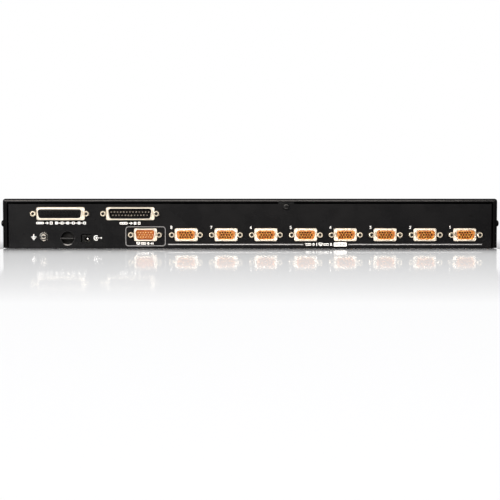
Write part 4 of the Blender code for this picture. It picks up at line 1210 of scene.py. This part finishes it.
def make_floor():
    """A pale floor, polished in front of the connector panel and matt everywhere else."""
    material = bpy.data.materials.new("floor_gloss")
    material.use_nodes = True
    tree = material.node_tree
    tree.nodes.remove(tree.nodes["Principled BSDF"])
    diffuse = add_node(tree, "ShaderNodeBsdfDiffuse", Color=(0.94, 0.94, 0.945, 1))
    gloss = add_node(tree, "ShaderNodeBsdfGlossy", Color=(1, 1, 1, 1), Roughness=0.05)
    place = add_node(tree, "ShaderNodeTexCoord").outputs["Object"]
    split = add_node(tree, "ShaderNodeSeparateXYZ")
    reach = add_range(tree, REAR - POLISH_OUT, REAR + POLISH_IN, 0.0, 1.0)
    fade = add_node(tree, "ShaderNodeFloatCurve")
    curve = fade.mapping.curves[0]
    for end, point in enumerate(curve.points):
        point.location = (float(end), 0.0)
    for metres_out, share in FLOOR_SHARES:
        curve.points.new((POLISH_OUT - metres_out) / (POLISH_OUT + POLISH_IN), share)
    fade.mapping.update()
    across = add_node(tree, "ShaderNodeMath", operation="ABSOLUTE")
    beside = add_range(tree, SIDE - 0.001, SIDE + 0.005, 1.0, 0.0)
    masked = add_node(tree, "ShaderNodeMath", operation="MULTIPLY")
    mix = add_node(tree, "ShaderNodeMixShader")
    for output, target in (
        (place, split.inputs[0]), (split.outputs["Y"], reach.inputs["Value"]),
        (reach.outputs["Result"], fade.inputs["Value"]), (split.outputs["X"], across.inputs[0]),
        (across.outputs[0], beside.inputs["Value"]), (fade.outputs["Value"], masked.inputs[0]),
        (beside.outputs["Result"], masked.inputs[1]), (masked.outputs[0], mix.inputs["Fac"]),
        (diffuse.outputs[0], mix.inputs[1]), (gloss.outputs[0], mix.inputs[2]),
        (mix.outputs[0], tree.nodes["Material Output"].inputs["Surface"]),
    ):
        tree.links.new(output, target)
    size, level = FLOOR_HALF, FLOOR_LEVEL
    corners = [(-size, -size, level), (size, -size, level), (size, size, level), (-size, size, level)]
    stage_plane("floor", corners, material)


def make_card(name, corners, glow=0.0):
    """A card that only reflections see: black, or lit by glow."""
    material = bpy.data.materials.new(name)
    material.use_nodes = True
    shader = material.node_tree.nodes["Principled BSDF"]
    shader.inputs["Base Color"].default_value = (0, 0, 0, 1)
    shader.inputs["Specular IOR Level"].default_value = 0.0
    shader.inputs["Emission Color"].default_value = (1, 1, 1, 1)
    shader.inputs["Emission Strength"].default_value = glow
    card = stage_plane(name, corners, material)
    card.visible_camera = False
    card.visible_diffuse = False
    card.visible_shadow = False
    card.visible_transmission = False


WARM_WHITE = (1.0, 0.92, 0.85)


def softbox(name, place, target, width, height, energy, glossy_only=False, colour=(1, 1, 1)):
    """An area light that lights either reflections only or matt surfaces only."""
    light = bpy.data.lights.new(name, "AREA")
    light.color = colour
    light.shape = "RECTANGLE"
    light.size, light.size_y = width, height
    light.energy = energy
    lamp = bpy.data.objects.new(name, light)
    lamp.location = place
    lamp.rotation_euler = (Vector(target) - Vector(place)).to_track_quat("-Z", "Y").to_euler()
    lamp.visible_camera = False
    lamp.visible_diffuse = not glossy_only
    lamp.visible_glossy = glossy_only
    bpy.context.scene.collection.objects.link(lamp)


SENSOR = 36
CAMERA_DISTANCE, CAMERA_HEIGHT, VIEW_WIDTH = 0.95, 0.0435, 0.4429
CAMERA_DIP = 2.712  # degrees below the horizon


def make_stage():
    scene = bpy.context.scene
    make_floor()
    front, back, side = REAR - 1.15, 1.5, 1.3
    far, near, top = -2.6, -0.5, 0.32
    left = [(far, front, 0.0), (near, front, 0.0), (near, front, top), (far, front, top)]
    make_card("left_card", left, glow=10.5)
    make_card("back_card", [(-side, back, 0.13), (side, back, 0.13), (side, back, 0.6), (-side, back, 0.6)])
    near, level, ahead = SIDE + 3 * MM, 0.0004, REAR - 0.3
    for name, way in (("left_floor_card", -1), ("right_floor_card", 1)):
        inner, outer = sorted((way * near, way * side))
        corners = [(inner, ahead, level), (outer, ahead, level), (outer, back, level), (inner, back, level)]
        make_card(name, corners)
    world = bpy.data.worlds.new("studio")
    scene.world = world
    world.use_nodes = True
    background = world.node_tree.nodes["Background"]
    background.inputs["Color"].default_value = (1, 1, 1, 1)
    background.inputs["Strength"].default_value = 1.0
    edge = (0, REAR, TOP)
    above = (-0.22, REAR - 0.68, 0.335)
    softbox("rim_strip", above, edge, 1.3, 0.22, 32.0, glossy_only=True, colour=WARM_WHITE)
    softbox("front_fill", (0, -2.0, 0.14), (0, REAR, 0.02), 1.4, 0.26, 9.0)
    camera_data = bpy.data.cameras.new("camera")
    camera_data.sensor_width = SENSOR
    camera_data.lens = SENSOR * CAMERA_DISTANCE / VIEW_WIDTH
    camera_data.clip_start = 0.01
    camera = bpy.data.objects.new("camera", camera_data)
    camera.location = (0.0, REAR - CAMERA_DISTANCE, CAMERA_HEIGHT)
    camera.rotation_euler = (radians(90 - CAMERA_DIP), 0, 0)
    scene.collection.objects.link(camera)
    scene.camera = camera
    scene.view_settings.view_transform = "Standard"
    scene.view_settings.exposure = 0.0


def soften(node, width, segments, angle):
    """Rounds a carried-over node's edges with modifiers, which leave its mesh as it is."""
    weld = node.modifiers.new("weld", "WELD")
    weld.merge_threshold = 0.005 * MM
    bevel = node.modifiers.new("soft_edges", "BEVEL")
    bevel.width = width
    bevel.segments = segments
    bevel.limit_method = "ANGLE"
    bevel.angle_limit = radians(angle)
    bevel.use_clamp_overlap = True


def dress_frame():
    """Gives each carried-over node its finish."""
    soften(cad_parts["front_bezel"], 0.35 * MM, 3, 35)
    finishes = {
        "base_chassis": STEEL, "front_bezel": BEZEL, "ribbon_cable": CABLE, "light_pipe_bar": CLEAR,
        "main_board": BOARD_MASK, "chain_board": BOARD_MASK, "front_board": BOARD_MASK,
        "processor_chip": CHIP, "video_switch_chip": CHIP, "filter_capacitor": CAN,
        "chain_board_post_left": CAN, "chain_board_post_right": CAN,
    }
    for name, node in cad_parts.items():
        node.data.materials.clear()
        node.data.materials.append(finishes.get(name, BLACK_NYLON))


make_stage()
dress_frame()
make_connectors()
make_screws()
make_cover()
make_panel_fold()
make_power_socket()
make_tie_slot()
print_rear_signs()
make_keys()
make_reset_key()
make_lights()
make_station_display()
make_window()
make_peripheral_socket()
print_front_signs()
